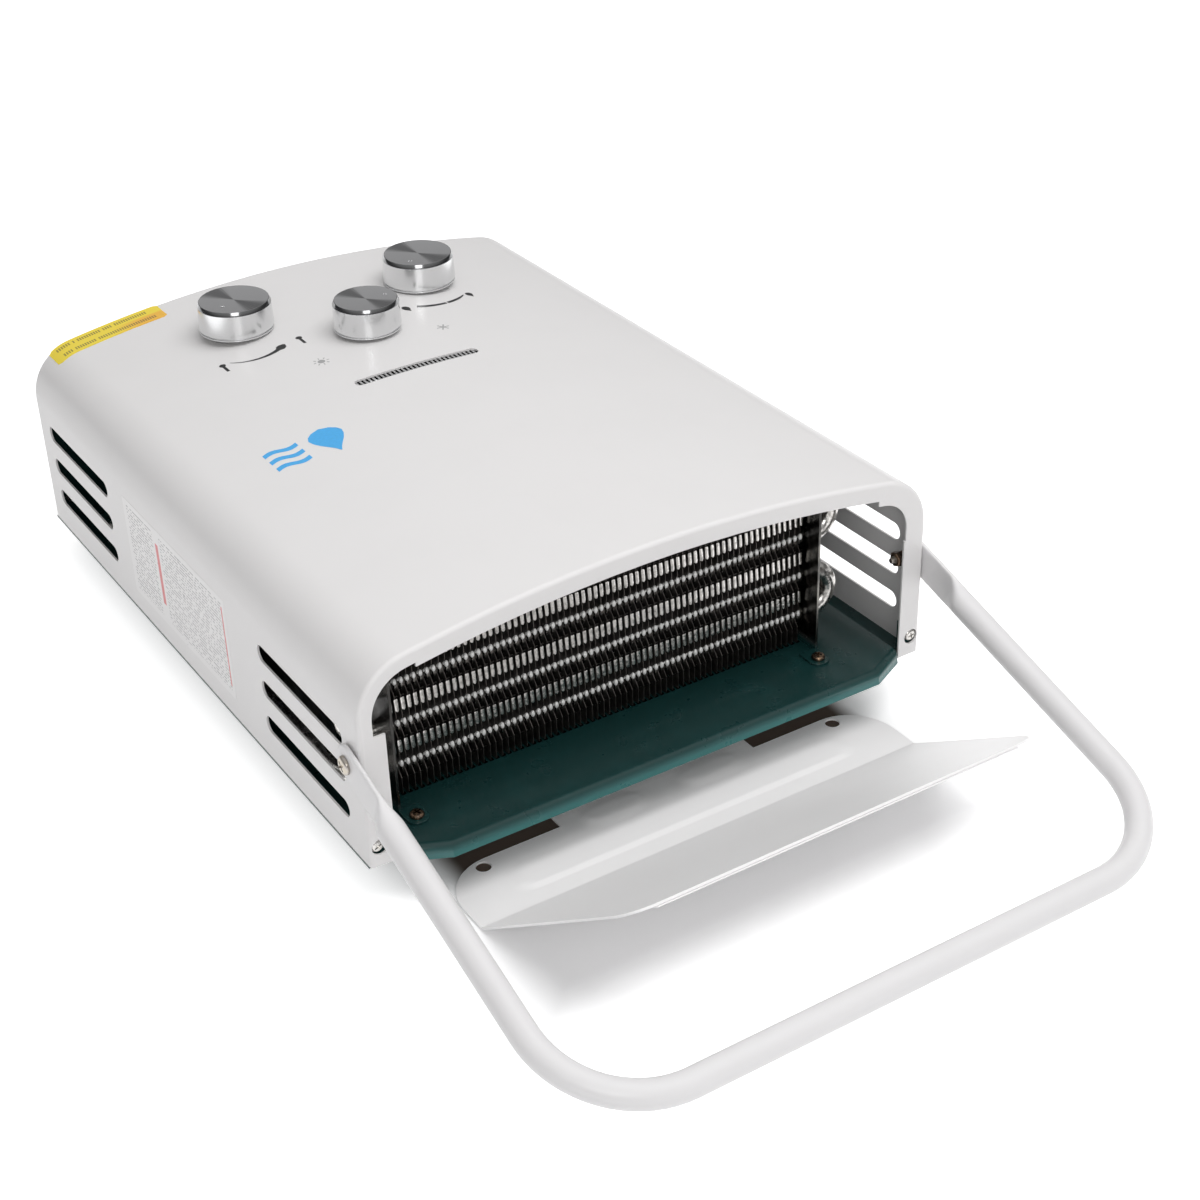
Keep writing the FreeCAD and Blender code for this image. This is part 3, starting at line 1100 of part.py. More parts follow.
def fittings():
    """Threaded inlet and outlet fittings through the inlet end, with rubber seals and lock nuts."""
    seals, nuts = [], []
    for label, (at_x, at_z) in FITTINGS.items():
        start = "(knob_station + valve_width / 2)" if label == "gas_inlet" else COLD_START
        pieces = [rod((at_x, start, at_z), f"{NUT_END} - {start}", SEAT_WIDTH, "Y"),
                  rod((at_x, NUT_END, at_z), f"{MOUTH} - {NUT_END}", "fitting_width", "Y")]
        if label == "hot_outlet":
            pieces.append(block((f"{at_x} - {SEAT_WIDTH} / 2", start, HOT_Z),
                                (SEAT_WIDTH, "fitting_inside - 2", "hot_drop + tube_width / 2 + 2")))
        bore = rod((at_x, f"{MOUTH} - fitting_depth", at_z), "fitting_depth + 1", "fitting_bore", "Y")
        name_node(cut(fused(pieces), [bore]), label)
        hole = rod((at_x, PLATE_Y, at_z), f"{MOUTH} - {PLATE_Y}", f"{SEAT_WIDTH} + 2 * screw_gap", "Y")
        seals.append(cut(rod((at_x, PLATE_OUT, at_z), "seal_tall", "nut_width + 3", "Y"), [hole]))
        seat = at_x, f"{PLATE_OUT} + seal_tall", at_z
        nuts.append(cut(hexagon(seat, "nut_tall", "nut_width", "Y"), [hole]))
    name_node(group(seals), "fitting_seals")
    name_node(group(nuts), "lock_nuts")
    name_node(fused([
        rod(("knob_spread", DRAIN_START, DRAIN_Z), f"{PLATE_OUT} - {DRAIN_START}", "drain_width - 2", "Y"),
        rod(("knob_spread", PLATE_OUT, DRAIN_Z), "drain_reach", "drain_width", "Y"),
    ]), "drain_plug")


def pipes():
    """The cold, hot and gas pipes inside the case."""
    lane, stub = "-pipe_lane", "(fin_left - plate_sheet - tube_stub)"
    cold_y = "(knob_station + 2)"
    pipe = "pipe_bend", "tube_width", "tube_wall"
    cold = [("knob_spread - body_thick / 2", cold_y), (lane, cold_y), (lane, TUBE_Y), (stub, TUBE_Y)]
    name_node(bent_tube("cold_run", cold, *pipe, TUBE_LOW, "YZ_Plane", cold[0][0]), "cold_pipe")
    turn_y = f"({COLD_START} - pipe_bend - 2)"
    hot = [(stub, TUBE_Y), (lane, TUBE_Y), (lane, turn_y), ("-hot_offset", turn_y),
           ("-hot_offset", COLD_START)]
    name_node(bent_tube("hot_run", hot, *pipe, TUBE_TOP, "YZ_Plane", stub), "hot_pipe")
    start = f"({MANIFOLD_Y} + manifold_size)"
    long = f"knob_station - valve_width / 2 - {start}"
    name_node(rod(("-knob_spread", start, MANIFOLD_Z), long, "manifold_size", "Y"), "gas_pipe")


# ---------------------------------------------------------------- igniter and batteries

BOX_WIDE = "(cell_width + 2 * cell_gap + 2 * box_wall)"
BOX_RIGHT = f"(box_left + {BOX_WIDE})"
BOX_LOW = f"({PAN} + box_lift)"
BOX_TALL = "(2 * cell_width + 3 * cell_gap + 2 * box_wall)"
BOX_LONG = "(cell_length + 4 + box_wall)"
PIN_Y = f"({PLATE_OUT} + ear_radius + 2 * lid_gap)"
PIN_Z = f"({BOX_LOW} - ear_radius - 2 * lid_gap)"


def electrics():
    """The igniter on the panel, and the battery box with its cells, contacts, lid and hinge pin."""
    name_node(block(("igniter_left", "season_station - 5", PAN),
                    ("igniter_width", "igniter_length", "igniter_tall")), "igniter_module")
    near = f"({PLATE_Y} - {BOX_LONG})"
    middle = f"(box_left + {BOX_WIDE} / 2)"
    outer = block(("box_left", near, BOX_LOW), (BOX_WIDE, BOX_LONG, BOX_TALL))
    foot = (f"{BOX_WIDE} - 2 * box_margin", "box_foot", "box_lift + box_wall / 2")
    feet = [block(("box_left + box_margin", f"{near} + {step}", PAN), foot)
            for step in ("box_margin", f"{BOX_LONG} - 2 * box_foot")]
    inner = block(("box_left + box_wall", f"{near} + box_wall", f"{BOX_LOW} + box_wall"),
                  (f"{BOX_WIDE} - 2 * box_wall", BOX_LONG, f"{BOX_TALL} - 2 * box_wall"))
    name_node(cut(fused([outer, *feet]), [inner]), "battery_box")
    cells, contacts = [], []
    for number in (0, 1):
        at_z = f"({BOX_LOW} + box_wall + cell_width / 2 + cell_gap + {number} * (cell_width + cell_gap))"
        at = middle, f"{near} + box_wall + contact_sheet + cell_gap / 3", at_z
        cells.append(fused([
            rod(at, "cell_length - 1.5", "cell_width", "Y"), rod(at, "cell_length", "cell_width / 4", "Y"),
        ]))
        low = f"{middle} - contact_size / 2", f"{near} + box_wall", f"{at_z} - contact_size / 2"
        contacts.append(block(low, ("contact_size", "contact_sheet", "contact_size")))
    name_node(group(cells), "battery_cells")
    name_node(group(contacts), "battery_contacts")

    lid_y, lid_low = f"{PLATE_OUT} + lid_gap", f"({BOX_LOW} + lid_gap)"
    barrel = "box_left + 2 + ear_width + 4 * running_gap", f"{BOX_WIDE} - 4 - 2 * ear_width - 8 * running_gap"
    lid_wide = f"{BOX_WIDE} + 2 * lid_lap"
    plate = block(("box_left - lid_lap", lid_y, lid_low), (lid_wide, "lid_sheet", BOX_TALL))
    roll = rod((barrel[0], PIN_Y, PIN_Z), barrel[1], "2 * ear_radius - 0.4", "X")
    web = block((barrel[0], lid_y, PIN_Z), (barrel[1], "lid_sheet", f"{lid_low} - {PIN_Z} + 1"))
    grip = block((f"{middle} - lid_grip / 2", lid_y, f"{BOX_LOW} + {BOX_TALL} - 6"),
                 ("lid_grip", "lid_sheet + 2", "4"))
    bore = rod(("box_left", PIN_Y, PIN_Z), BOX_WIDE, "pin_width + 2 * running_gap", "X")
    name_node(cut(fused([plate, roll, web, grip]), [bore]), "battery_lid")
    name_node(rod(("box_left + 1", PIN_Y, PIN_Z), f"{BOX_WIDE} - 2", "pin_width", "X"), "lid_hinge_pin")


# ---------------------------------------------------------------- the whole heater

front_cover()
back_panel()
cover_screws()
window_mesh()
rear_rail("near_rail", "rail_near", "hood_sheet")
rear_rail("far_rail", "rail_far", "0")
rail_screws()
rain_hood()
hood_rivets()
carry_handle()
handle_pivots()
knob("gas_knob", KNOBS[0], "knob_width", "knob_spread", "208")
knob("water_knob", KNOBS[1], "knob_width", "knob_spread", "203")
knob("season_knob", KNOBS[2], "season_width", "0", "-6")
spindle("gas_spindle", KNOBS[0], "knob_spread")
spindle("water_spindle", KNOBS[1], "knob_spread")
spindle("season_spindle", KNOBS[2], "0")
valves()
fin_pack()
exchanger()
burner()
fittings()
pipes()
electrics()

doc.recompute()
failed = [item.Name for item in doc.Objects if "Invalid" in item.State or "Error" in item.State]
if failed:
    raise RuntimeError("objects that failed: " + ", ".join(failed))
for node in NODES:
    if node.Shape.isNull() or not node.Shape.isValid() or not node.Shape.Solids:
        raise RuntimeError("no sound shape: " + node.Label)

os.makedirs("parts", exist_ok=True)
for node in NODES:
    node.Shape.exportStep(f"parts/{node.Label}.step")
    print(f"{node.Label}: {len(node.Shape.Solids)} solids, {node.Shape.Volume / 1000:.1f} cm3")
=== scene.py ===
"""Looks of a portable propane water heater, built around its packed construction model."""

import math

import bmesh
import bpy
from bpy.props import FloatProperty, FloatVectorProperty, IntProperty, PointerProperty
from mathutils import Matrix, Vector


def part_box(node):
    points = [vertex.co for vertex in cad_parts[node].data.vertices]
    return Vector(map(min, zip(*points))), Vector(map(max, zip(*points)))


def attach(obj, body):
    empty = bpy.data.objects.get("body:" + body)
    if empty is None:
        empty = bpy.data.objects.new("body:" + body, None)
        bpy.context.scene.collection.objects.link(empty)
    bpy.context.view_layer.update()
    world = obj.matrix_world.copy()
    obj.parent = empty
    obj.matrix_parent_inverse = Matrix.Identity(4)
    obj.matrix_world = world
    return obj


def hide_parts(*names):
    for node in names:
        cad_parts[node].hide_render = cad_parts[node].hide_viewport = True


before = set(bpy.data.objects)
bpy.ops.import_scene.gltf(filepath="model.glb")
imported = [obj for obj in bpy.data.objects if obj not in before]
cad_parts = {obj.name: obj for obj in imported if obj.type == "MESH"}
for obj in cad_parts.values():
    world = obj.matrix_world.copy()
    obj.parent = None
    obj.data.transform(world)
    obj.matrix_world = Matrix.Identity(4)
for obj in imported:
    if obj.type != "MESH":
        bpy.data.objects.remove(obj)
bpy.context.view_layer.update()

bl_info = {
    "name": "Propane water heater",
    "version": (1, 0, 0),
    "blender": (4, 5, 0),
    "location": "3D View > Sidebar > Heater",
    "description": "Builds the finished surfaces of a portable propane water heater",
    "category": "Object",
}

MM = 0.001


# ---------------------------------------------------------------- sizes and colours


def length(name, description, millimetres):
    """A size in metres with its default written in millimetres."""
    return FloatProperty(name=name, description=description, default=millimetres * MM, unit="LENGTH",
                         subtype="DISTANCE", precision=5)


def colour(name, description, value):
    """A colour that a user can change."""
    return FloatVectorProperty(name=name, description=description, default=value, size=3, min=0, max=1,
                               subtype="COLOR")


def bearing(name, description, degrees):
    """An angle with its default written in degrees."""
    return FloatProperty(name=name, description=description, default=math.radians(degrees), subtype="ANGLE")


def count(name, description, value):
    """A whole number of like pieces."""
    return IntProperty(name=name, description=description, default=value, min=1)


class CoverSizes(bpy.types.PropertyGroup):
    """The cover's outside, which prints and stickers follow."""

    half_width: length("Half width", "Middle of the case to its side", 145)
    crown: length("Crown", "Wall plane to the top of the arched front", 129.5)
    arch: length("Arch radius", "Radius of the arched front", 690)
    corner: length("Corner radius", "Radius where the front turns into a side", 27)
    print_lift: length("Ink height", "How proud the printed ink stands", 0.05)
    sticker_lift: length("Sticker height", "How proud a sticker stands", 0.12)


class KnobSizes(bpy.types.PropertyGroup):
    """The three turned knobs."""

    bevel: length("Bevel", "Height of the polished bevel between a knob's side and its top", 2.1)
    inset: length("Bevel inset", "How far the bevel leans in", 0.95)
    dish: length("Dish", "How deep a knob's top is dished", 0.25)
    foot: length("Foot", "Height of the plain ring at a knob's foot", 1.6)
    dimple: length("Dimple", "Radius of the pointer dimple", 0.95)


class FinSizes(bpy.types.PropertyGroup):
    """The heat exchanger's fins."""

    pitch: length("Pitch", "Spacing of the fins", 3.09)
    number: count("Number", "How many fins", 70)
    sheet: length("Sheet", "Thickness of a fin", 0.35)
    tab_width: length("Tab width", "Width of the bent tabs at the fins' front", 1.75)
    tab_tall: length("Tab height", "Height of the bent tabs", 6.4)
    tab_rise: length("Tab rise", "How far the tabs sit above the middle between two tubes", 3.7)
    lowest_tube: length("Lowest tube", "Wall plane to the lowest tube's middle", 39.3)
    tube_pitch: length("Tube pitch", "Spacing of the water tubes", 20.6)
    tube_radius: length("Tube radius", "Outside radius of a water tube", 4.5)


class HoodSizes(bpy.types.PropertyGroup):
    """The bent rain hood on the wall plane."""

    half_width: length("Half width", "Half the hood's width at its crease", 114.75)
    crease: length("Crease", "Exhaust end to the crease", 35.5)
    back: length("Back", "Exhaust end to the rear edge", 4)
    run: length("Run", "How far the flange reaches out from the crease", 91)
    climb: length("Climb", "How high the flange rises", 63)
    taper: length("Taper", "How much narrower each side is at the edge", 14.4)
    corner: length("Corner", "Radius of the base's corners", 24)
    sheet: length("Sheet", "Thickness of the sheet", 1)
    hem: length("Hem", "Width of the hemmed edge", 5)
    tab_half: length("Tab", "Half width of the tab under the heater", 52)
    tab_end: length("Tab's end", "Exhaust end to the tab's end", 78)
    hole: length("Hole", "Radius of the wall screw holes", 3.5)
    hole_spread: length("Hole spread", "Middle to a wall screw hole", 94)
    rib: length("Rib height", "How proud the pressed ribs stand", 0.75)


class HandleSizes(bpy.types.PropertyGroup):
    """The bent tube handle."""

    half_span: length("Half span", "Middle of the case to an arm's middle line", 146.7)
    pivot_y: length("Pivot station", "Exhaust end to the pivot", 8)
    pivot_z: length("Pivot height", "Wall plane to the pivot", 71.2)
    reach: length("Reach", "Pivot to the middle of the grip bar", 184.9)
    rest: length("Rest", "Wall plane to the middle of the grip bar", 15)
    bend: length("Bend", "Bend radius of the tube's middle line", 45)
    radius: length("Radius", "Outside radius of the tube", 6)
    flat_sheet: length("Flat sheet", "Thickness of a flattened end", 2.6)
    flat_width: length("Flat width", "Width of a flattened end", 17)
    flat_end: length("Flat end", "Pivot to where the tube starts to swell", 24)
    round_start: length("Round start", "Pivot to where the tube is round", 37)


class Colours(bpy.types.PropertyGroup):
    """Colours of the paints, sheets and prints."""

    enamel: colour("Enamel", "The case's baked enamel", (0.79, 0.777, 0.775))
    white_paint: colour("White paint", "Powder paint of the handle", (0.76, 0.75, 0.755))
    # painted light: the hood's white is made lighter than the handle's to make up for the shade the hood
    # lies in
    hood_paint: colour("Hood paint", "Powder paint of the rain hood", (0.93, 0.92, 0.92))
    panel: colour("Back panel", "The back panel's paint", (0.008, 0.037, 0.036))
    ink: colour("Ink", "Black ink of the printed scales", (0.012, 0.012, 0.013))
    grey_ink: colour("Grey ink", "Grey ink of the small icons", (0.33, 0.33, 0.33))
    blue: colour("Blue", "Blue ink of the printed motif", (0.055, 0.37, 0.74))
    yellow: colour("Yellow", "The front sticker", (0.92, 0.72, 0.03))
    orange: colour("Orange", "The band on the front sticker", (0.90, 0.42, 0.03))
    red: colour("Red", "The bar and line on the side sticker", (0.66, 0.07, 0.08))
    plated: colour("Yellow zinc", "Plating of the screws", (0.50, 0.44, 0.31))
    tin: colour("Tinned copper", "The tinned tubes and tabs", (0.72, 0.70, 0.67))
    fin: colour("Fins", "The lead-coated fin sheets", (0.080, 0.073, 0.067))


class StageSizes(bpy.types.PropertyGroup):
    """Camera, floor and lamps."""

    place: FloatVectorProperty(name="Camera place", description="Where the camera stands", size=3,
                               default=(-0.415656, -0.622223, 0.555010), unit="LENGTH")
    turn: bearing("Turn", "Camera's heading", -31.738)
    climb: bearing("Climb", "Camera's height angle", 31.231)
    roll: bearing("Roll", "Camera's roll", -1.802)
    lens: FloatProperty(name="Lens", description="Focal length in millimetres on a 36 mm frame",
                        default=62.176)
    floor_half: length("Floor", "Half the floor's width", 4000)


GROUPS = {"cover": CoverSizes, "knobs": KnobSizes, "fins": FinSizes, "hood": HoodSizes,
          "handle": HandleSizes, "colours": Colours, "stage": StageSizes}


def sizes(group):
    """The scene's values of one group."""
    return getattr(bpy.context.scene, "heater_" + group)


def mm(*values):
    """Millimetres as metres."""
    return tuple(value * MM for value in values)


def eased(share):
    """A share held between 0 and 1, with a smooth start and end."""
    held = max(0.0, min(1.0, share))
    return held * held * (3 - 2 * held)


# ---------------------------------------------------------------- meshes


def link(name, mesh):
    """A new object in the scene, at the origin."""
    made = bpy.data.objects.new(name, mesh)
    bpy.context.scene.collection.objects.link(made)
    return made


def solid(name, points, faces, smooth=30, merge=1e-7):
    """A closed mesh object with its doubles merged and its faces pointing outwards."""
    shape = bmesh.new()
    corners = [shape.verts.new(point) for point in points]
    for face in faces:
        picked = list(dict.fromkeys(face))
        if len(picked) > 2:
            shape.faces.new([corners[index] for index in picked])
    bmesh.ops.remove_doubles(shape, verts=shape.verts, dist=merge)
    bmesh.ops.recalc_face_normals(shape, faces=shape.faces)
    mesh = bpy.data.meshes.new(name)
    shape.to_mesh(mesh)
    shape.free()
    soften(mesh, smooth)
    return link(name, mesh)


def soften(mesh, smooth):
    """Smooth shading, with edges sharper than the angle kept."""
    mesh.shade_smooth()
    mesh.set_sharp_from_angle(angle=math.radians(smooth))


def settle(piece):
    """Turns the piece's evaluated shape into its plain mesh and drops its modifiers."""
    bpy.context.view_layer.update()
    evaluated = piece.evaluated_get(bpy.context.evaluated_depsgraph_get())
    mesh = bpy.data.meshes.new_from_object(evaluated)
    piece.modifiers.clear()
    piece.data = mesh
    return piece


def drop(*pieces):
    """Removes helper objects."""
    for piece in pieces:
        bpy.data.objects.remove(piece, do_unlink=True)


def join(name, pieces):
    """One object made of several, with their finishes kept."""
    shape = bmesh.new()
    finishes = []
    for piece in pieces:
        before = len(shape.faces)
        shape.from_mesh(piece.data)
        shape.faces.ensure_lookup_table()
        own = list(piece.data.materials) or [None]
        for face in shape.faces[before:]:
            finish = own[min(face.material_index, len(own) - 1)]
            if finish not in finishes:
                finishes.append(finish)
            face.material_index = finishes.index(finish)
    mesh = bpy.data.meshes.new(name)
    shape.to_mesh(mesh)
    shape.free()
    for finish in finishes:
        if finish:
            mesh.materials.append(finish)
    drop(*pieces)
    return link(name, mesh)


def wrapped(rings, around):
    """Faces between closed rings that have as many points each."""
    faces = []
    for ring in range(rings - 1):
        here, there = ring * around, (ring + 1) * around
        for step in range(around):
            after = (step + 1) % around
            faces.append((here + step, here + after, there + after, there + step))
    return faces


def capped(rings, around):
    """The same faces, and one over each end."""
    last = (rings - 1) * around
    return [*wrapped(rings, around), tuple(range(around)), tuple(last + step for step in range(around))]


def flat_piece(name, outline, half):
    """A flat piece from its outline in Y and Z, as thick along X as twice the half."""
    points = [(side * half, at_y, at_z) for side in (-1, 1) for at_y, at_z in outline]
    number = len(outline)
    faces = [tuple(range(number - 1, -1, -1)), tuple(range(number, 2 * number))]
    for step in range(number):
        after = (step + 1) % number
        faces.append((step, after, number + after, number + step))
    return solid(name, points, faces)


def turned(name, profile, steps=48, place=None, smooth=30):
    """A shape turned about Z from a profile of (radius, height) points that starts and ends on the axis."""
    points = []
    for radius, height in profile:
        for step in range(steps):
            angle = 2 * math.pi * step / steps
            points.append((radius * math.cos(angle), radius * math.sin(angle), height))
    if place:
        points = [place @ Vector(point) for point in points]
    return solid(name, points, wrapped(len(profile), steps), smooth)


def box_piece(name, low, high):
    """A plain block between two corners, as a helper for cutting or as a small part of a piece."""
    points = [(x, y, z) for x in (low[0], high[0]) for y in (low[1], high[1]) for z in (low[2], high[2])]
    faces = [(0, 1, 3, 2), (4, 6, 7, 5), (0, 4, 5, 1), (2, 3, 7, 6), (0, 2, 6, 4), (1, 5, 7, 3)]
    return solid(name, points, faces)


def carve(piece, cutters):
    """Cuts the cutters out of the piece."""
    for cutter in cutters:
        step = piece.modifiers.new("cut", "BOOLEAN")
        step.operation = "DIFFERENCE"
        step.solver = "EXACT"
        step.object = cutter
    settle(piece)
    drop(*cutters)
    return piece


def bench_copy(node, smooth=30, bevel=0.0):
    """A finished copy of a construction node: doubles merged, flats joined, edges broken if wanted."""
    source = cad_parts[node].data
    shape = bmesh.new()
    shape.from_mesh(source)
    bmesh.ops.remove_doubles(shape, verts=shape.verts, dist=2e-6)
    if bevel:
        bmesh.ops.dissolve_limit(shape, angle_limit=math.radians(0.3), verts=shape.verts, edges=shape.edges)
    bare = bpy.data.meshes.new("bare")
    shape.to_mesh(bare)
    shape.free()
    mesh = bpy.data.meshes.new(node)
    mesh.from_pydata([vertex.co for vertex in bare.vertices], [],
                     [face.vertices[:] for face in bare.polygons])
    bpy.data.meshes.remove(bare)
    soften(mesh, smooth)
    piece = link(node + "_finished", mesh)
    if bevel:
        edge = piece.modifiers.new("edges", "BEVEL")
        edge.width = bevel
        edge.segments = 2
        edge.limit_method = "ANGLE"
        edge.angle_limit = math.radians(50)
    even = piece.modifiers.new("even", "WEIGHTED_NORMAL")
    even.keep_sharp = True
    even.weight = 50
    return piece


def hand_over(piece, body, nodes=(), finish=None):
    """Gives the piece its finish in a material slot and its body, and hides the nodes that it stands for."""
    if finish:
        piece.data.materials.clear()
        piece.data.materials.append(finish)
    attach(piece, body)
    if nodes:
        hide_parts(*nodes)
    return piece


# ---------------------------------------------------------------- Geometry Nodes


def new_tree(name, inputs):
    """An empty geometry tree with named inputs; returns it with its input and output nodes."""
    tree = bpy.data.node_groups.new(name, "GeometryNodeTree")
    tree.interface.new_socket("Geometry", in_out="INPUT", socket_type="NodeSocketGeometry")
    for label, kind in inputs:
        tree.interface.new_socket(label, in_out="INPUT", socket_type="NodeSocket" + kind)
    tree.interface.new_socket("Geometry", in_out="OUTPUT", socket_type="NodeSocketGeometry")
    return tree, tree.nodes.new("NodeGroupInput"), tree.nodes.new("NodeGroupOutput")


def finish_tree(tree, source, out, instances):
    """Ends a tree in real geometry with one finish."""
    real = tree.nodes.new("GeometryNodeRealizeInstances")
    paint = tree.nodes.new("GeometryNodeSetMaterial")
    tree.links.new(instances, real.inputs["Geometry"])
    tree.links.new(real.outputs["Geometry"], paint.inputs["Geometry"])
    tree.links.new(source.outputs["Finish"], paint.inputs["Material"])
    tree.links.new(paint.outputs["Geometry"], out.inputs["Geometry"])


def row_tree():
    """Like pieces in a row, each a little out of true."""
    tree, source, out = new_tree("row of pieces", [
        ("Piece", "Object"), ("Count", "Int"), ("First", "Vector"), ("Step", "Vector"), ("Sway", "Vector"),
        ("Seed", "Int"), ("Finish", "Material"),
    ])
    line = tree.nodes.new("GeometryNodeMeshLine")
    line.mode = "OFFSET"
    piece = tree.nodes.new("GeometryNodeObjectInfo")
    sway = tree.nodes.new("FunctionNodeRandomValue")
    sway.data_type = "FLOAT_VECTOR"
    other_way = tree.nodes.new("ShaderNodeVectorMath")
    other_way.operation = "SCALE"
    other_way.inputs["Scale"].default_value = -1
    put = tree.nodes.new("GeometryNodeInstanceOnPoints")
    for label, socket in (("Count", line.inputs["Count"]), ("First", line.inputs["Start Location"]),
                          ("Step", line.inputs["Offset"]), ("Piece", piece.inputs["Object"]),
                          ("Sway", sway.inputs["Max"]), ("Sway", other_way.inputs[0]),
                          ("Seed", sway.inputs["Seed"])):
        tree.links.new(source.outputs[label], socket)
    tree.links.new(other_way.outputs[0], sway.inputs["Min"])
    tree.links.new(line.outputs["Mesh"], put.inputs["Points"])
    tree.links.new(piece.outputs["Geometry"], put.inputs["Instance"])
    tree.links.new(sway.outputs["Value"], put.inputs["Rotation"])
    finish_tree(tree, source, out, put.outputs["Instances"])
    return tree


def seat_tree():
    """One piece at each point of the modified mesh, turned as the point's 'turn' attribute says."""
    tree, source, out = new_tree("pieces on seats", [("Piece", "Object"), ("Finish", "Material")])
    piece = tree.nodes.new("GeometryNodeObjectInfo")
    turn = tree.nodes.new("GeometryNodeInputNamedAttribute")
    turn.data_type = "FLOAT_VECTOR"
    turn.inputs["Name"].default_value = "turn"
    put = tree.nodes.new("GeometryNodeInstanceOnPoints")
    tree.links.new(source.outputs["Geometry"], put.inputs["Points"])
    tree.links.new(source.outputs["Piece"], piece.inputs["Object"])
    tree.links.new(piece.outputs["Geometry"], put.inputs["Instance"])
    tree.links.new(turn.outputs["Attribute"], put.inputs["Rotation"])
    finish_tree(tree, source, out, put.outputs["Instances"])
    return tree


TREES = {}


def grow(grown, make_tree, **inputs):
    """Runs a geometry tree on an object with its named inputs and keeps the result as plain mesh."""
    if make_tree not in TREES:
        TREES[make_tree] = make_tree()
    tree = TREES[make_tree]
    step = grown.modifiers.new("grow", "NODES")
    step.node_group = tree
    for item in tree.interface.items_tree:
        if item.in_out == "INPUT" and item.name.lower() in inputs:
            step[item.identifier] = inputs[item.name.lower()]
    return settle(grown)


def row(name, piece, number, first, pitch, finish, sway=(0, 0, 0), seed=1):
    """A row of copies of a helper piece, which is used up."""
    made = link(name, bpy.data.meshes.new(name))
    grow(made, row_tree, piece=piece, count=number, first=first, step=pitch, sway=sway, seed=seed,
         finish=finish)
    drop(piece)
    return made


def seated(name, piece, seats, finish):
    """Copies of a helper piece on seats, each a (point, axis, turn about the axis)."""
    mesh = bpy.data.meshes.new(name)
    mesh.from_pydata([point for point, axis, spin in seats], [], [])
    turn = mesh.attributes.new("turn", "FLOAT_VECTOR", "POINT")
    for index, (point, axis, spin) in enumerate(seats):
        upright = Vector(axis).to_track_quat("Z", "Y").to_matrix()
        turn.data[index].vector = (upright @ Matrix.Rotation(spin, 3, "Z")).to_euler()
    made = link(name, mesh)
    grow(made, seat_tree, piece=piece, finish=finish)
    drop(piece)
    return made


# ---------------------------------------------------------------- shader maths


class Reading:
    """A value that varies over a surface; its operators add the nodes of the sum they stand for."""

    def __init__(self, owner, socket):
        self.owner = owner
        self.socket = socket

    def sums(self, operation, *values):
        return self.owner.sums(operation, *values)

    def __add__(self, other):
        return self.sums("ADD", self, other)

    __radd__ = __add__

    def __sub__(self, other):
        return self.sums("SUBTRACT", self, other)

    def __rsub__(self, other):
        return self.sums("SUBTRACT", other, self)

    def __mul__(self, other):
        return self.sums("MULTIPLY", self, other)

    __rmul__ = __mul__

    def __truediv__(self, other):
        return self.sums("DIVIDE", self, other)

    def __abs__(self):
        return self.sums("ABSOLUTE", self)

    def cosine(self):
        return self.sums("COSINE", self)

    def repeat(self, span):
        return self.sums("FLOORED_MODULO", self, span)

    def cells(self, span):
        return self.sums("FLOOR", self / span)

    def over(self, edge):
        return self.sums("GREATER_THAN", self, edge)

    def within(self, middle, reach):
        return self.sums("LESS_THAN", abs(self - middle), reach)

    def fade(self, start, end):
        """0 below start, 1 above end, smooth between them."""
        return self.owner.node("ShaderNodeMapRange", {"interpolation_type": "SMOOTHSTEP"},
                               {"Value": self, "From Min": start, "From Max": end})


class Nodes:
    """A tree of shader nodes; whatever it adds comes back as a reading."""

    def __init__(self, tree, coordinates="Object"):
        self.tree = tree
        self.where = self.node("ShaderNodeTexCoord", {}, {}, coordinates)

    def node(self, kind, settings, sockets, output=0):
        """A node of any kind, its settings made first, then its sockets' values or links."""
        made = self.tree.nodes.new(kind)
        for label, value in settings.items():
            if label == "stops":
                for index, (place, tone) in enumerate(value):
                    ramp = made.color_ramp.elements
                    stop = ramp[index] if index < len(ramp) else ramp.new(place)
                    stop.position = place
                    stop.color = (*tone, 1)
            else:
                setattr(made, label, value)
        pairs = sockets.items() if isinstance(sockets, dict) else enumerate(sockets)
        for label, value in pairs:
            if isinstance(value, Reading):
                self.tree.links.new(value.socket, made.inputs[label])
            else:
                made.inputs[label].default_value = value
        return Reading(self, made.outputs[output]) if made.outputs else None

    def sums(self, operation, *values):
        """One step of arithmetic on readings and numbers."""
        return self.node("ShaderNodeMath", {"operation": operation}, list(values))

    def axis(self, label):
        """One of the coordinates X, Y, Z; on a piece they are in metres."""
        return self.node("ShaderNodeSeparateXYZ", {}, {"Vector": self.where}, label)

    def ray(self, label):
        """1 for one kind of ray and 0 for the rest."""
        return self.node("ShaderNodeLightPath", {}, {}, label)

    def ramp(self, share, *stops):
        """A colour that runs through stops of (place, tone)."""
        return self.node("ShaderNodeValToRGB", {"stops": stops}, {"Fac": share})


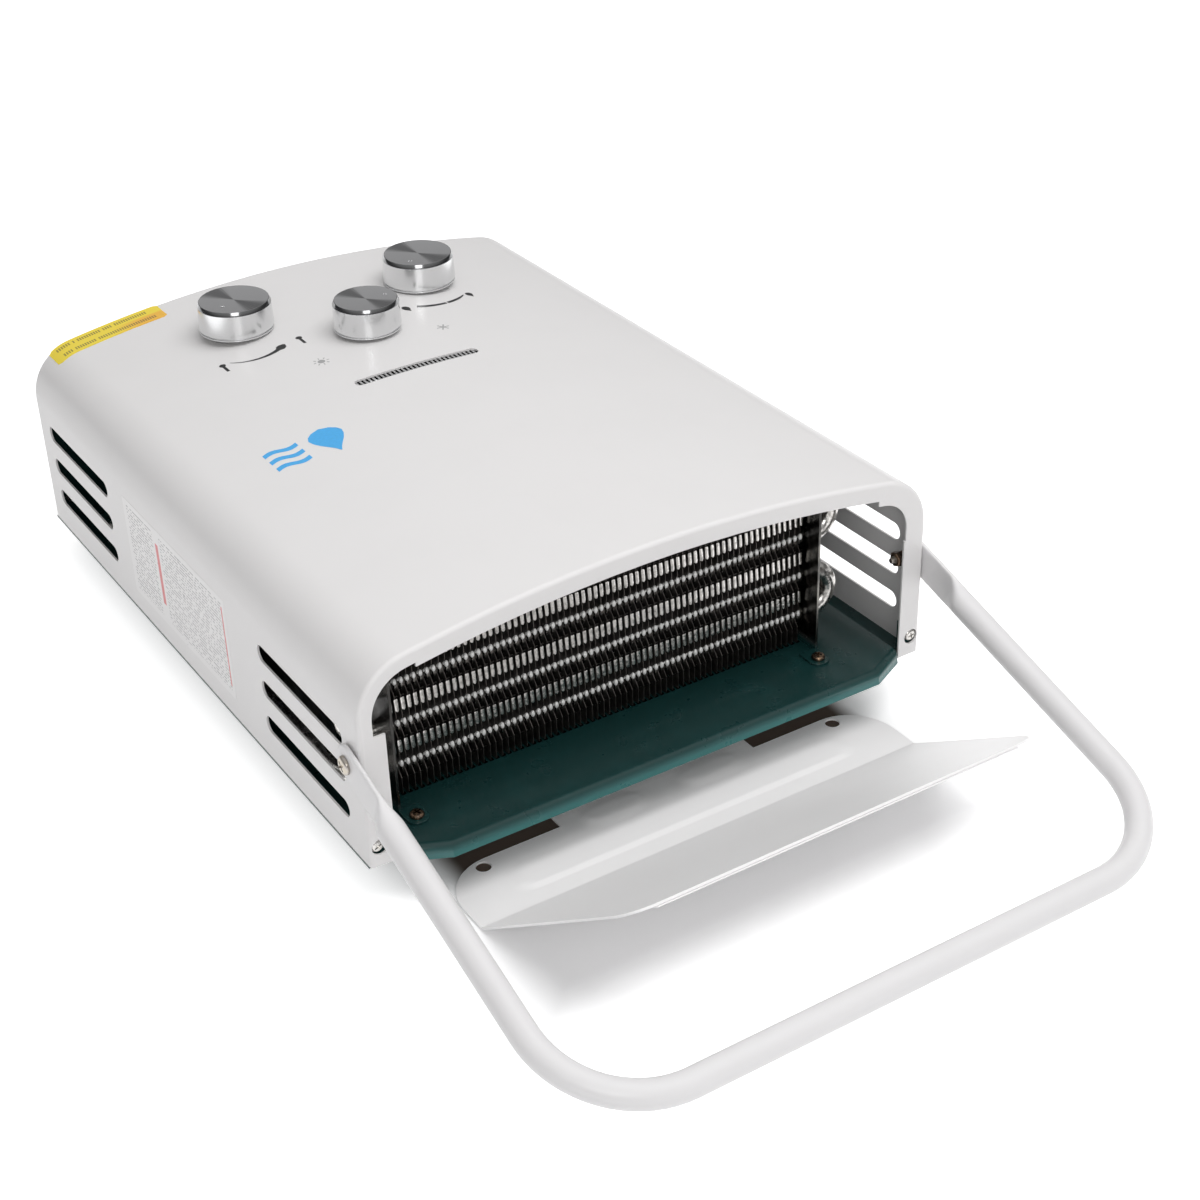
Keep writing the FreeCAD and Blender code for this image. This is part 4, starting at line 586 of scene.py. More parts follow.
class Finish(Nodes):
    """One material: constants on the shader's own sockets, varying values through nodes."""

    def __init__(self, name, **constants):
        self.material = bpy.data.materials.new(name)
        self.material.use_nodes = True
        super().__init__(self.material.node_tree)
        self.shader = self.tree.nodes["Principled BSDF"]
        for label, value in constants.items():
            self.shader.inputs[label.replace("_", " ")].default_value = value

    def stretched(self, scale):
        """Object coordinates, scaled along each axis."""
        return self.node("ShaderNodeMapping", {}, {"Vector": self.where, "Scale": scale})

    def noise(self, scale, detail, rough=0.5, where=None):
        """Soft random blotches from 0 to 1, scale to the metre."""
        return self.node("ShaderNodeTexNoise", {}, {"Vector": where or self.where, "Scale": scale,
                                                    "Detail": detail, "Roughness": rough}, "Fac")

    def patches(self, scale):
        """Random patches of one colour each, scale to the metre."""
        return self.node("ShaderNodeTexVoronoi", {}, {"Vector": self.where, "Scale": scale}, "Color")

    def streaks(self, share, detail):
        """Random values along one line."""
        return self.node("ShaderNodeTexNoise", {"noise_dimensions": "1D"},
                         {"W": share, "Detail": detail}, "Fac")

    def chance(self, dimensions, **parts):
        """One random number for each place that the parts count out."""
        place = self.node("ShaderNodeCombineXYZ", {}, parts)
        return self.node("ShaderNodeTexWhiteNoise", {"noise_dimensions": dimensions}, {"Vector": place},
                         "Value")

    def mix(self, share, low, high):
        """A colour between two."""
        tones = [tone if isinstance(tone, Reading) else (*tone[:3], 1) for tone in (low, high)]
        return self.node("ShaderNodeMix", {"data_type": "RGBA"}, {0: share, 6: tones[0], 7: tones[1]}, 2)

    def feed(self, label, value):
        """Links a varying value to the shader."""
        self.tree.links.new(value.socket, self.shader.inputs[label])
        return self

    def bump(self, height, distance, strength):
        """Small relief, height 0 to 1 standing for the distance in metres."""
        return self.feed("Normal", self.node("ShaderNodeBump", {}, {"Height": height, "Distance": distance,
                                                                    "Strength": strength}, "Normal"))


FINISHES = {}


def finish(kind, *values):
    """The material that a finish function makes, made once for each set of values."""
    key = (kind, values)
    if key not in FINISHES:
        FINISHES[key] = kind(*values).material
    return FINISHES[key]


def paint_of(name):
    """A colour of the scene's values, as a tuple."""
    return tuple(getattr(sizes("colours"), name))


def shade(tone, factor):
    """A colour made darker or lighter."""
    return tuple(min(1.0, part * factor) for part in tone)


# ---------------------------------------------------------------- finishes


def enamel(label):
    """Baked enamel on steel: even, glossy, with a faint orange peel and a trace of dust."""
    tone = paint_of(label)
    made = Finish(label + " paint", Specular_IOR_Level=0.42, Coat_Roughness=0.2, Coat_Weight=0.1)
    dust = made.noise(26, 5, 0.6).fade(0.35, 0.75)
    made.feed("Base Color", made.mix(dust, tone, shade(tone, 0.988)))
    made.feed("Roughness", 0.36 + 0.03 * made.noise(60, 4))
    return made.bump(made.noise(380, 2, 0.4), 0.00003, 0.6)


def panel_paint():
    """Dark green sheet-metal paint, glossy, a little dusty where it lies open, with painted light that makes
    the bent-down near lip lighter.
    """
    tone = paint_of("panel")
    made = Finish("panel paint", Specular_IOR_Level=0.38, Coat_Weight=0.12, Coat_Roughness=0.1)
    dust = made.noise(38, 6, 0.65).fade(0.45, 0.8)
    # painted light: the bent-down near lip, low and at the front, is coloured lighter as if lit from the
    # front
    painted_lit_lip = (1 - made.axis("Z").fade(0.0225, 0.0272)) * (1 - made.axis("Y").fade(-0.008, 0.004))
    open_floor = made.mix(dust, tone, shade(tone, 1.35))
    made.feed("Base Color", made.mix(painted_lit_lip, open_floor, shade(tone, 3.8)))
    made.feed("Roughness", 0.22 + 0.14 * made.noise(90, 4))
    return made.bump(made.noise(520, 2), 0.00003, 0.6)


def chrome():
    """Polished chromium plate, with faint wipe marks."""
    made = Finish("chrome", Metallic=1.0, Base_Color=(0.80, 0.805, 0.81, 1))
    return made.feed("Roughness", 0.05 + 0.05 * made.noise(140, 4))


def chrome_with_painted_dark_reflection():
    """Chromium plate on a knob's bevel, its colour darkened as painted dark reflection."""
    made = Finish("black chrome", Metallic=1.0, Base_Color=(0.27, 0.272, 0.276, 1))
    return made.feed("Roughness", 0.12 + 0.04 * made.noise(140, 4))


def satin_chrome():
    """Satin chromium plate on a knob's side."""
    made = Finish("satin chrome", Metallic=1.0, Base_Color=(0.77, 0.775, 0.78, 1))
    return made.feed("Roughness", 0.15 + 0.06 * made.noise(120, 3))


def spun(centre_x, centre_y):
    """Aluminium faced on a lathe: fine rings, with two dark and two light fans put into its colour as
    painted reflection.
    """
    made = Finish("spun aluminium", Metallic=1.0)
    flat = made.node("ShaderNodeMapping", {"vector_type": "POINT"}, {
        "Vector": made.where, "Location": (-centre_x, -centre_y, 0), "Scale": (1, 1, 0)})
    reach = made.node("ShaderNodeVectorMath", {"operation": "LENGTH"}, [flat], "Value")
    across = made.node("ShaderNodeSeparateXYZ", {}, {"Vector": flat}, "X")
    along = made.node("ShaderNodeSeparateXYZ", {}, {"Vector": flat}, "Y")
    heading = made.sums("ARCTAN2", across, along)
    # painted reflection: the light and dark fans that the rings would throw are set in the base colour by
    # heading
    painted_fans = (2 * heading + 0.7).cosine()
    wander = made.streaks(heading * 9, 4.0)
    rings = made.streaks(reach * 9000, 2.0)
    share = (painted_fans * 0.5 + 0.5 + 0.5 * (wander - 0.5)).fade(0.75, 0.98)
    made.feed("Base Color", made.mix(share, (0.56, 0.56, 0.57), (0.2, 0.2, 0.205)))
    made.feed("Roughness", 0.3 + 0.1 * rings)
    return made.bump(rings, 0.00003, 0.6)


def yellow_zinc():
    """Yellow-passivated zinc plating with a shifting tint."""
    tone = paint_of("plated")
    made = Finish("yellow zinc", Metallic=1.0)
    made.feed("Base Color", made.mix(made.noise(420, 3), tone, (0.42, 0.40, 0.42)))
    made.feed("Roughness", 0.24 + 0.12 * made.noise(700, 3))
    return made.bump(made.noise(1500, 2), 0.00002, 0.5)


def bright_screw():
    """Nickel-plated steel of the cover's screws."""
    made = Finish("bright screw", Metallic=1.0, Base_Color=(0.60, 0.585, 0.56, 1))
    made.feed("Roughness", 0.2 + 0.14 * made.noise(800, 3))
    return made.bump(made.noise(1600, 2), 0.00002, 0.4)


def old_screw():
    """A screw that heat has browned."""
    made = Finish("heat-browned screw", Metallic=1.0)
    burnt = made.noise(600, 3).fade(0.35, 0.65)
    made.feed("Base Color", made.mix(burnt, (0.30, 0.20, 0.13), (0.10, 0.075, 0.06)))
    return made.feed("Roughness", 0.2 + 0.2 * made.noise(700, 3))


def bare_steel():
    """Plain steel with faint rolling marks."""
    made = Finish("bare steel", Metallic=1.0)
    marks = made.noise(300, 3, 0.6, made.stretched((1, 0.15, 1)))
    made.feed("Base Color", made.mix(marks, (0.42, 0.42, 0.41), (0.55, 0.55, 0.54)))
    return made.feed("Roughness", 0.28 + 0.16 * marks)


def galvanised():
    """Galvanised sheet with its spangle."""
    made = Finish("galvanised", Metallic=1.0)
    spangle = made.patches(170)
    grey = made.node("ShaderNodeRGBToBW", {}, {"Color": spangle})
    made.feed("Base Color", made.mix(grey, (0.46, 0.47, 0.48), (0.62, 0.63, 0.64)))
    return made.feed("Roughness", 0.3 + 0.2 * grey)


def dark_plate():
    """Lead-coated end plate: a dark mirror with solder runs."""
    made = Finish("dark plate")
    runs = made.noise(85, 5, 0.6).fade(0.5, 0.7)
    plate = made.mix(runs, (0.10, 0.098, 0.094), (0.24, 0.23, 0.21))
    foot = 1 - made.axis("Z").fade(0.0288, 0.034)
    made.feed("Base Color", made.mix(foot, plate, shade(paint_of("panel"), 1.1)))
    made.feed("Metallic", 1 - foot)
    made.feed("Roughness", 0.12 + 0.2 * made.noise(160, 4))
    return made.bump(made.noise(140, 4), 0.0003, 0.5)


def fin_sheet():
    """Lead-coated fin sheet, dark and blotched."""
    tone = paint_of("fin")
    made = Finish("fin sheet", Metallic=0.85)
    blotch = made.noise(260, 4, 0.6)
    made.feed("Base Color", made.mix(blotch.fade(0.3, 0.7), shade(tone, 0.6), shade(tone, 1.7)))
    made.feed("Roughness", 0.26 + 0.25 * made.noise(500, 3))
    return made.bump(made.noise(700, 3), 0.0001, 0.6)


def solder_tone(made):
    """Tin that ran, and dulled in places."""
    tone = paint_of("tin")
    dull = made.noise(330, 4, 0.65).fade(0.42, 0.72)
    return made.mix(dull, tone, shade(tone, 0.5))


def solder_skin(made):
    """The sheen and the small runs of solder."""
    made.feed("Roughness", 0.1 + 0.28 * made.noise(420, 4))
    return made.bump(made.noise(360, 3), 0.00035, 0.5)


def tab_solder_with_painted_light():
    """Solder tone on the fins' tabs, a painted highlight as a bright, mostly matt band over each tube's
    upper side, and painted shade that makes the rest near black.
    """
    own = sizes("fins")
    made = Finish("tab solder")
    height = (made.axis("Z") - own.lowest_tube).repeat(own.tube_pitch)
    # painted highlight: a bright, mostly non-metallic band where the lamp's highlight falls on each tube
    bead = height.within(4.4 * MM, 1.9 * MM)
    tab = height.within(14 * MM, 3.6 * MM)
    # painted shade: off the tabs and the highlight band the colour is near black
    tabs = made.mix(tab, (0.028, 0.026, 0.024), solder_tone(made))
    made.feed("Base Color", made.mix(bead, tabs, (0.86, 0.855, 0.84)))
    made.feed("Metallic", 1 - 0.85 * bead)
    return solder_skin(made)


def tinned():
    """Tinned copper: bright, with solder that ran and dulled in places."""
    made = Finish("tinned copper", Metallic=1.0)
    made.feed("Base Color", solder_tone(made))
    return solder_skin(made)


def cast_aluminium():
    """Die-cast aluminium with its fine skin."""
    made = Finish("cast aluminium", Metallic=0.9)
    grain = made.noise(900, 4, 0.6)
    made.feed("Base Color", made.mix(grain, (0.40, 0.40, 0.41), (0.56, 0.56, 0.57)))
    made.feed("Roughness", 0.42 + 0.16 * grain)
    return made.bump(grain, 0.00012, 0.6)


def brass():
    """Machined brass, slightly tarnished."""
    made = Finish("brass", Metallic=1.0)
    age = made.noise(150, 5, 0.6).fade(0.4, 0.75)
    made.feed("Base Color", made.mix(age, (0.72, 0.52, 0.22), (0.45, 0.31, 0.14)))
    return made.feed("Roughness", 0.2 + 0.2 * age)


def black_plastic():
    """Fine-textured black moulding."""
    made = Finish("black plastic", Specular_IOR_Level=0.45)
    grain = made.noise(1800, 2)
    made.feed("Base Color", made.mix(made.noise(50, 3), (0.014, 0.014, 0.015), (0.026, 0.026, 0.027)))
    made.feed("Roughness", 0.42 + 0.14 * grain)
    return made.bump(grain, 0.00006, 0.7)


def black_rubber():
    """Matt black rubber."""
    made = Finish("black rubber", Specular_IOR_Level=0.3)
    made.feed("Base Color", made.mix(made.noise(80, 4), (0.012, 0.012, 0.012), (0.03, 0.03, 0.03)))
    return made.feed("Roughness", 0.72 + 0.12 * made.noise(600, 3))


def ceramic():
    """Glazed white insulator."""
    made = Finish("ceramic", Specular_IOR_Level=0.55)
    made.feed("Base Color", made.mix(made.noise(300, 3), (0.78, 0.76, 0.70), (0.70, 0.66, 0.58)))
    return made.feed("Roughness", 0.16 + 0.1 * made.noise(400, 2))


def cell_jacket():
    """A battery cell's plain foil jacket: dark, with a copper-coloured end band."""
    made = Finish("cell jacket", Metallic=0.6)
    band = made.axis("Y").over(0.346)
    made.feed("Base Color", made.mix(band, (0.02, 0.02, 0.022), (0.55, 0.30, 0.12)))
    return made.feed("Roughness", 0.25 + 0.1 * made.noise(200, 2))


def ink(label):
    """Screen-printed ink."""
    tone = paint_of(label)
    made = Finish(label + " ink", Specular_IOR_Level=0.5)
    made.feed("Base Color", made.mix(made.noise(900, 2), tone, shade(tone, 1.25)))
    return made.feed("Roughness", 0.28 + 0.08 * made.noise(700, 2))


def front_sticker():
    """Glossy yellow film that turns orange towards one end, with two rows of plain dashes."""
    made = Finish("front sticker", Specular_IOR_Level=0.5, Coat_Weight=0.3, Coat_Roughness=0.1)
    across, along = made.axis("X"), made.axis("Y")
    tone = paint_of("yellow")
    warm = across.fade(-0.105, -0.085) * (1 - along.fade(0.3600, 0.3625))
    plain = made.mix(warm * 0.75, tone, paint_of("orange"))
    dash = 1.3 * MM
    chance = made.chance("2D", X=across.cells(dash), Y=along.cells(0.008))
    rows = along.within(0.3570, 0.0016) + along.within(0.3650, 0.0016)
    marks = rows * across.repeat(dash).within(dash / 2, 0.0004) * chance.over(0.18)
    marks = marks * across.within(-0.1045, 0.0265)
    made.feed("Base Color", made.mix(marks * 0.62, plain, paint_of("ink")))
    return made.feed("Roughness", 0.22 + 0.06 * made.noise(300, 2))


def side_sticker():
    """Clear-backed film with rows of plain grey dashes, a red bar and a thin red line."""
    film = shade(paint_of("enamel"), 1.03)
    made = Finish("side sticker", Specular_IOR_Level=0.5)
    along, up = made.axis("Y"), made.axis("Z")
    line_pitch = 1.7 * MM
    rows = up.repeat(line_pitch).within(line_pitch / 2, 0.00032)
    chance = made.chance("3D", X=along.cells(0.0011), Y=up.cells(line_pitch), Z=3.0)
    column = 1 - along.within(0.2105, 0.0045)
    margins = up.within(0.0600, 0.0235) * along.within(0.1905, 0.0560)
    dashes = rows * chance.over(0.36) * column * margins
    bar = along.within(0.2105, 0.0017) * up.within(0.0610, 0.0165)
    line = along.within(0.1345, 0.0006) * up.within(0.0600, 0.0210)
    tone = made.mix(dashes * 0.7, film, (0.16, 0.15, 0.16))
    made.feed("Base Color", made.mix(bar + line, tone, paint_of("red")))
    return made.feed("Roughness", 0.26 + 0.05 * made.noise(200, 2))


NODE_FINISHES = {
    galvanised: ("combustion_chamber",),
    bare_steel: ("burner_bars", "battery_contacts", "lid_hinge_pin", "gas_spindle", "water_spindle",
                 "season_spindle", "handle_washers", "hood_rivets"),
    cast_aluminium: ("gas_valve", "season_valve", "water_valve", "diaphragm_cover", "gas_pipe"),
    black_plastic: ("gas_solenoid", "overheat_switch"),
    black_rubber: ("diaphragm", "fitting_seals"),
    ceramic: ("ignition_electrode", "flame_sensor"),
    brass: ("gas_jets",),
    cell_jacket: ("battery_cells",),
    yellow_zinc: ("rail_screws", "diaphragm_screws"),
}


def dress_nodes():
    """Gives every construction node that stays its finish."""
    for kind, nodes in NODE_FINISHES.items():
        for node in nodes:
            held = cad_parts[node]
            for slot in held.material_slots:
                slot.material = finish(kind)
            if not held.material_slots:
                held.data.materials.append(finish(kind))


# ---------------------------------------------------------------- the case


def cover():
    """The bent and arched cover."""
    piece = bench_copy("front_cover", smooth=35)
    hand_over(piece, "case", ["front_cover"], finish(enamel, "enamel"))


def back_tray():
    """The pressed back panel with its bent-down near edge, and the two rear rails."""
    tray = bench_copy("back_panel", bevel=0.6 * MM)
    bend_down(tray.data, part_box("left_end_plate")[0].z)
    hand_over(tray, "case", ["back_panel"], finish(panel_paint))
    for node in ("near_rail", "far_rail"):
        rail = bench_copy(node, bevel=0.35 * MM)
        hand_over(rail, "case", [node], finish(galvanised))


def bend_down(mesh, floor_top):
    """Rounds the bend of the tray's near edge and gives the lip under it a slight outward crease."""
    near_edge, bend_radius = mm(6, 3.6)
    crease = floor_top - 4.9 * MM
    lean = 0.3
    lip_start, drawn_back = mm(-4, 2)
    shape = bmesh.new()
    shape.from_mesh(mesh)
    picked = []
    for edge in shape.edges:
        if len(edge.link_faces) != 2 or max(vertex.co.y for vertex in edge.verts) > near_edge:
            continue
        if any(abs(vertex.co.z - floor_top) > 0.02 * MM for vertex in edge.verts):
            continue
        steepest, flattest = sorted(edge.link_faces, key=lambda face: abs(face.normal.z))
        if abs(steepest.normal.z) < 0.2 and flattest.normal.z > 0.9:
            picked.append(edge)
    bmesh.ops.bevel(shape, geom=picked, offset=bend_radius, offset_type="OFFSET", segments=6, profile=0.5,
                    affect="EDGES", clamp_overlap=True)
    bmesh.ops.bisect_plane(shape, geom=[*shape.verts, *shape.edges, *shape.faces], dist=1e-6,
                           plane_co=(0, 0, crease), plane_no=(0, 0, 1))
    for vertex in shape.verts:
        if vertex.co.y < 0 and vertex.co.z < crease:
            vertex.co.z += (crease - vertex.co.z) * lean
            vertex.co.y -= (crease - vertex.co.z) * lean
        if vertex.co.y < lip_start:
            vertex.co.y += drawn_back
    shape.to_mesh(mesh)
    shape.free()
    soften(mesh, 24)


def skin(along, station, lift):
    """A point over the cover: along its section from the crown, at a station along Y, lifted off it."""
    own = sizes("cover")
    reach = own.arch - own.corner
    corner_x = own.half_width - own.corner
    end_turn = math.asin(corner_x / reach)
    arch_z = own.crown - own.arch
    distance = abs(along)
    if distance <= own.arch * end_turn:
        turn, middle, radius = distance / own.arch, (0.0, arch_z), own.arch
    else:
        rest = distance - own.arch * end_turn
        turn = min(end_turn + rest / own.corner, math.pi / 2)
        middle, radius = (corner_x, arch_z + reach * math.cos(end_turn)), own.corner
    down = max(0.0, distance - own.arch * end_turn - own.corner * (math.pi / 2 - end_turn))
    out = radius + lift
    across = middle[0] + out * math.sin(turn)
    return math.copysign(across, along), station, middle[1] + out * math.cos(turn) - down


def laid(name, bands, lift):
    """Thin closed film on the cover, from bands of (left, right) points in section length and station."""
    points, faces = [], []
    for band in bands:
        base = len(points)
        for left, right in band:
            points += [skin(*left, lift), skin(*right, lift), skin(*left, 0.0), skin(*right, 0.0)]
        for step in range(len(band) - 1):
            here, there = base + 4 * step, base + 4 * step + 4
            faces += [(here, here + 1, there + 1, there), (here + 2, there + 2, there + 3, here + 3),
                      (here, there, there + 2, here + 2), (here + 1, here + 3, there + 3, there + 1)]
        last = base + 4 * (len(band) - 1)
        faces += [(base, base + 2, base + 3, base + 1), (last, last + 1, last + 3, last + 2)]
    return solid(name, points, faces, 40, 1e-8)


def arc_band(centre, radius, start, end, widths):
    """A band along an arc; its width runs through the given values."""
    steps = 24
    band = []
    for step in range(steps + 1):
        share = step / steps
        place = share * (len(widths) - 1)
        index = min(int(place), len(widths) - 2)
        wide = widths[index] + (widths[index + 1] - widths[index]) * (place - index)
        angle = math.radians(start + (end - start) * share)
        aim = (math.cos(angle), math.sin(angle))
        band.append(tuple((centre[0] + aim[0] * (radius + side * wide / 2),
                           centre[1] + aim[1] * (radius + side * wide / 2)) for side in (-1, 1)))
    return band


def even_shape(centre, heading, stations):
    """A shape that is even about an axis, from (distance along the axis, half width) stations."""
    angle = math.radians(heading)
    aim = Vector((math.cos(angle), math.sin(angle)))
    side = Vector((-aim.y, aim.x))
    return [tuple(tuple(Vector(centre) + aim * far + side * half * hand) for hand in (-1, 1))
            for far, half in stations]


def disc(centre, radius):
    """A filled circle."""
    angles = [math.pi * step / 12 for step in range(13)]
    return even_shape(centre, 90, [(-radius * math.cos(a), max(radius * math.sin(a), 1e-5)) for a in angles])


def thermometer(centre, tall):
    """A small thermometer, bulb and stem."""
    bulb = tall * 0.2
    stem = even_shape(centre, -90, [(-tall * 0.3, tall * 0.09), (tall * 0.55, tall * 0.09)])
    return [disc((centre[0], centre[1] + tall * 0.35), bulb), stem]


def flame(centre, tall):
    """A small flame, wide at its foot and pointed at its tip."""
    stations = [(-0.5, 0.02), (-0.42, 0.18), (-0.2, 0.28), (0.05, 0.24), (0.25, 0.12), (0.5, 0.01)]
    return [even_shape(centre, -80, [(far * tall, half * tall) for far, half in stations])]


def sun(centre, radius):
    """A disc with eight rays."""
    rays = [even_shape(centre, 45 * turn, [(radius * 1.5, radius * 0.14), (radius * 2.2, radius * 0.14)])
            for turn in range(8)]
    return [disc(centre, radius), *rays]


def snow(centre, radius):
    """Three crossed bars."""
    return [even_shape(centre, 60 * turn, [(-radius, radius * 0.1), (radius, radius * 0.1)])
            for turn in range(3)]


def front_prints():
    """The scales at the knobs with plain icons, and a blue motif of a drop and three waves."""
    lift = sizes("cover").print_lift
    bands = []
    scales = (
        ((-56.4, 291.6), 20.5, -137, -62, (0.3, 0.7, 1.2, 1.6, 2.1, 2.6)),
        ((-56.4, 291.6), 20.5, -62, -44, (2.2, 5.2, 4.6, 1.2)),
        ((47.6, 302.0), 26.1, -118, -82, (2.6, 2.5, 2.2, 2.0)),
        ((47.6, 302.0), 26.1, -80, -48, (2.2, 2.1, 1.7, 0.7)),
    )
    for centre, radius, start, end, widths in scales:
        bands.append(arc_band(mm(*centre), radius * MM, start, end, mm(*widths)))
    for place in ((-75.5, 274.5), (-32.5, 276.0)):
        bands += thermometer(mm(*place), 8.5 * MM)
    for place, tall in (((29.4, 278.6), 7.5), ((68.5, 281.6), 6.5)):
        bands += flame(mm(*place), tall * MM)
    scale_print = laid("scale_print", bands, lift)
    hand_over(scale_print, "case", (), finish(ink, "ink"))

    marks = sun(mm(-35.7, 246.5), 1.9 * MM) + snow(mm(33.5, 247.5), 3.4 * MM)
    pale = laid("season_print", marks, lift)
    hand_over(pale, "case", (), finish(ink, "grey_ink"))

    drop_shape = [(-0.5, 0.01), (-0.38, 0.07), (-0.25, 0.16), (-0.1, 0.27), (0.05, 0.35), (0.2, 0.385),
                  (0.33, 0.33), (0.43, 0.21), (0.5, 0.01)]
    tall, middle = 25 * MM, mm(-68.5, 171.5)
    motif = [even_shape(middle, 90, [(far * tall, half * tall * 0.9) for far, half in drop_shape])]
    motif += [wave(-99 * MM, -82 * MM, at * MM, 1.3 * MM, 3.4 * MM) for at in (164, 171.5, 179)]
    blue = laid("blue_motif", motif, lift)
    hand_over(blue, "case", (), finish(ink, "blue"))


def wave(start, end, at_y, swing, wide):
    """A band that runs along X in one wave."""
    band = []
    for step in range(25):
        share = step / 24
        middle = at_y + swing * math.sin(2 * math.pi * share)
        at_x = start + (end - start) * share
        band.append(((at_x, middle - wide / 2), (at_x, middle + wide / 2)))
    return band


def stickers():
    """A yellow sticker over the front's corner and a pale printed one on the left side."""
    lift = sizes("cover").sticker_lift
    near, far = mm(-136.2, -73.2)
    low, high = mm(352.6, 369.4)
    steps, round_end = 28, 1.5 * MM
    band = []
    for step in range(steps + 1):
        at = near + (far - near) * step / steps
        inset = max(0.0, round_end - min(at - near, far - at))
        band.append(((at, low + inset), (at, high - inset)))
    yellow = laid("front_sticker", [band], lift)
    hand_over(yellow, "case", (), finish(front_sticker))

    side_x = -sizes("cover").half_width
    low, high = Vector((side_x - lift * 0.6, 131 * MM, 33 * MM)), Vector((side_x, 251 * MM, 86 * MM))
    pale = box_piece("side_sticker", low, high)
    hand_over(pale, "case", (), finish(side_sticker))


def window():
    """The wire mesh behind the flame window: cross wires on a few long ones."""
    low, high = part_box("window_mesh")
    own = sizes("cover")
    wires, long_wires, stretches = 32, 3, 16
    cross_half, long_half, thick = mm(0.58, 0.2, 0.3)
    cross_depth, long_depth = mm(1.12, 1.45)
    span = high.x - low.x
    pitch = span / wires

    def front(x):
        return own.crown - own.arch + math.sqrt(own.arch ** 2 - x ** 2)

    bars = []
    for number in range(wires + 1):
        middle = low.x + pitch * number
        top = front(middle) - cross_depth
        bars.append(box_piece("bar", (middle - cross_half, low.y, top - thick),
                              (middle + cross_half, high.y, top)))
    for line in range(long_wires):
        at = low.y + (high.y - low.y) * (line + 0.5) / long_wires
        for number in range(stretches):
            one, two = low.x + number * span / stretches, low.x + (number + 1) * span / stretches
            top = (front(one) + front(two)) / 2 - long_depth
            bars.append(box_piece("bar", (one, at - long_half, top - thick), (two, at + long_half, top)))
    mesh = join("window_wires", bars)
    hand_over(mesh, "case", ["window_mesh"], finish(satin_chrome))


# ---------------------------------------------------------------- the rain hood


def hood_rows(angle, long, tip):
    """Rows across the hood, each (Y, Z, half width or None on the tab, lean of the sheet)."""
    own = sizes("hood")
    bend = 3 * MM
    cut_back = bend * math.tan(angle / 2)
    mid = own.sheet / 2
    base = own.back + own.crease

    rows = [(own.tab_end - (own.tab_end - own.back) * step / 34, mid, None, 0.0) for step in range(34)]
    stations = [own.corner * (1 - math.cos(math.pi / 2 * step / 12)) for step in range(13)]
    stations += [own.corner + (base - cut_back - own.corner) * step / 10 for step in range(1, 11)]
    for far in stations:
        inset = 0.0
        if far < own.corner:
            inset = own.corner - math.sqrt(max(0, own.corner ** 2 - (own.corner - far) ** 2))
        rows.append((own.back - far, mid, own.half_width - inset, 0.0))
    for step in range(1, 5):
        turn = angle * step / 5
        rows.append((-own.crease + cut_back - bend * math.sin(turn), mid + bend * (1 - math.cos(turn)),
                     own.half_width, turn))
    flats = [cut_back + (long - tip - cut_back) * step / 20 for step in range(21)]
    flats += [long - tip * (1 - math.sin(math.pi / 2 * step / 8)) for step in range(1, 9)]
    for far in flats:
        inset = own.taper * far / long
        if far > long - tip:
            inset += tip - math.sqrt(max(0, tip ** 2 - (far - long + tip) ** 2))
        rows.append((-own.crease - far * math.cos(angle), mid + far * math.sin(angle),
                     own.half_width - inset, angle))
    return rows


def hood_sheet(rows):
    """The hood's middle surface with its pressed ribs, as points and faces."""
    own = sizes("hood")
    inner, outer = 52, 22
    points, faces, lines = [], [], []
    for at_y, at_z, half, lean in rows:
        places = [own.tab_half * (2 * column / inner - 1) for column in range(inner + 1)]
        if half:
            wing = [own.tab_half + (half - own.tab_half) * step / outer for step in range(1, outer + 1)]
            places = [-at for at in reversed(wing)] + places + wing
        lines.append((len(points), bool(half)))
        for at_x in places:
            rise = pressed(at_x, at_y, lean, own.rib)
            points.append((at_x, at_y + rise * math.sin(lean), at_z + rise * math.cos(lean)))
    for (start, wide), (after, after_wide) in zip(lines, lines[1:]):
        shift = outer if after_wide and not wide else 0
        for column in range(inner if not wide else inner + 2 * outer):
            one, two = start + column, after + shift + column
            faces.append((one, one + 1, two + 1, two))
    return points, faces


def hood():
    """The bent sheet with pressed ribs, wall screw holes and a hemmed edge."""
    own = sizes("hood")
    angle = math.atan2(own.climb, own.run)
    long = math.hypot(own.run, own.climb)
    tip = own.corner / 2
    points, faces = hood_sheet(hood_rows(angle, long, tip))
    mesh = bpy.data.meshes.new("rain_hood_sheet")
    mesh.from_pydata(points, [], faces)
    soften(mesh, 40)
    sheet = link("rain_hood_sheet", mesh)
    thick = sheet.modifiers.new("sheet", "SOLIDIFY")
    thick.thickness = own.sheet
    thick.offset = 0
    under, above = mm(-4, 5)
    cutters = [turned("hole", [(0, under), (own.hole, under), (own.hole, above), (0, above)], 28,
                      Matrix.Translation((side * own.hole_spread, own.back - 5 * MM, 0)))
               for side in (-1, 1)]
    carve(sheet, cutters)
    soften(sheet.data, 40)
    hem = hemmed_edge(own.half_width - own.taper - tip, angle, long)
    whole = join("rain_hood_finished", [sheet, hem])
    # the hood's paint carries painted light: a lighter white than the handle's
    hand_over(whole, "case", ["rain_hood"], finish(enamel, "hood_paint"))


def pressed(at_x, at_y, lean, rise):
    """Height of the pressed ribs at a point of the hood's base."""
    if lean:
        return 0.0
    height = 0.0
    here = Vector((at_x, at_y))
    flank = 1.3 * MM
    ribs = (((-35, 2.5), (-17, 2.5), 6.5), ((17, 2.5), (35, 2.5), 6.5), ((-80, -17.5), (80, -17.5), 8.5))
    for start, end, half in ribs:
        one, two = Vector(start) * MM, Vector(end) * MM
        share = max(0.0, min(1.0, (here - one).dot(two - one) / (two - one).length_squared))
        distance = (here - one.lerp(two, share)).length
        height = max(height, rise * eased((half * MM - distance) / flank))
    return height


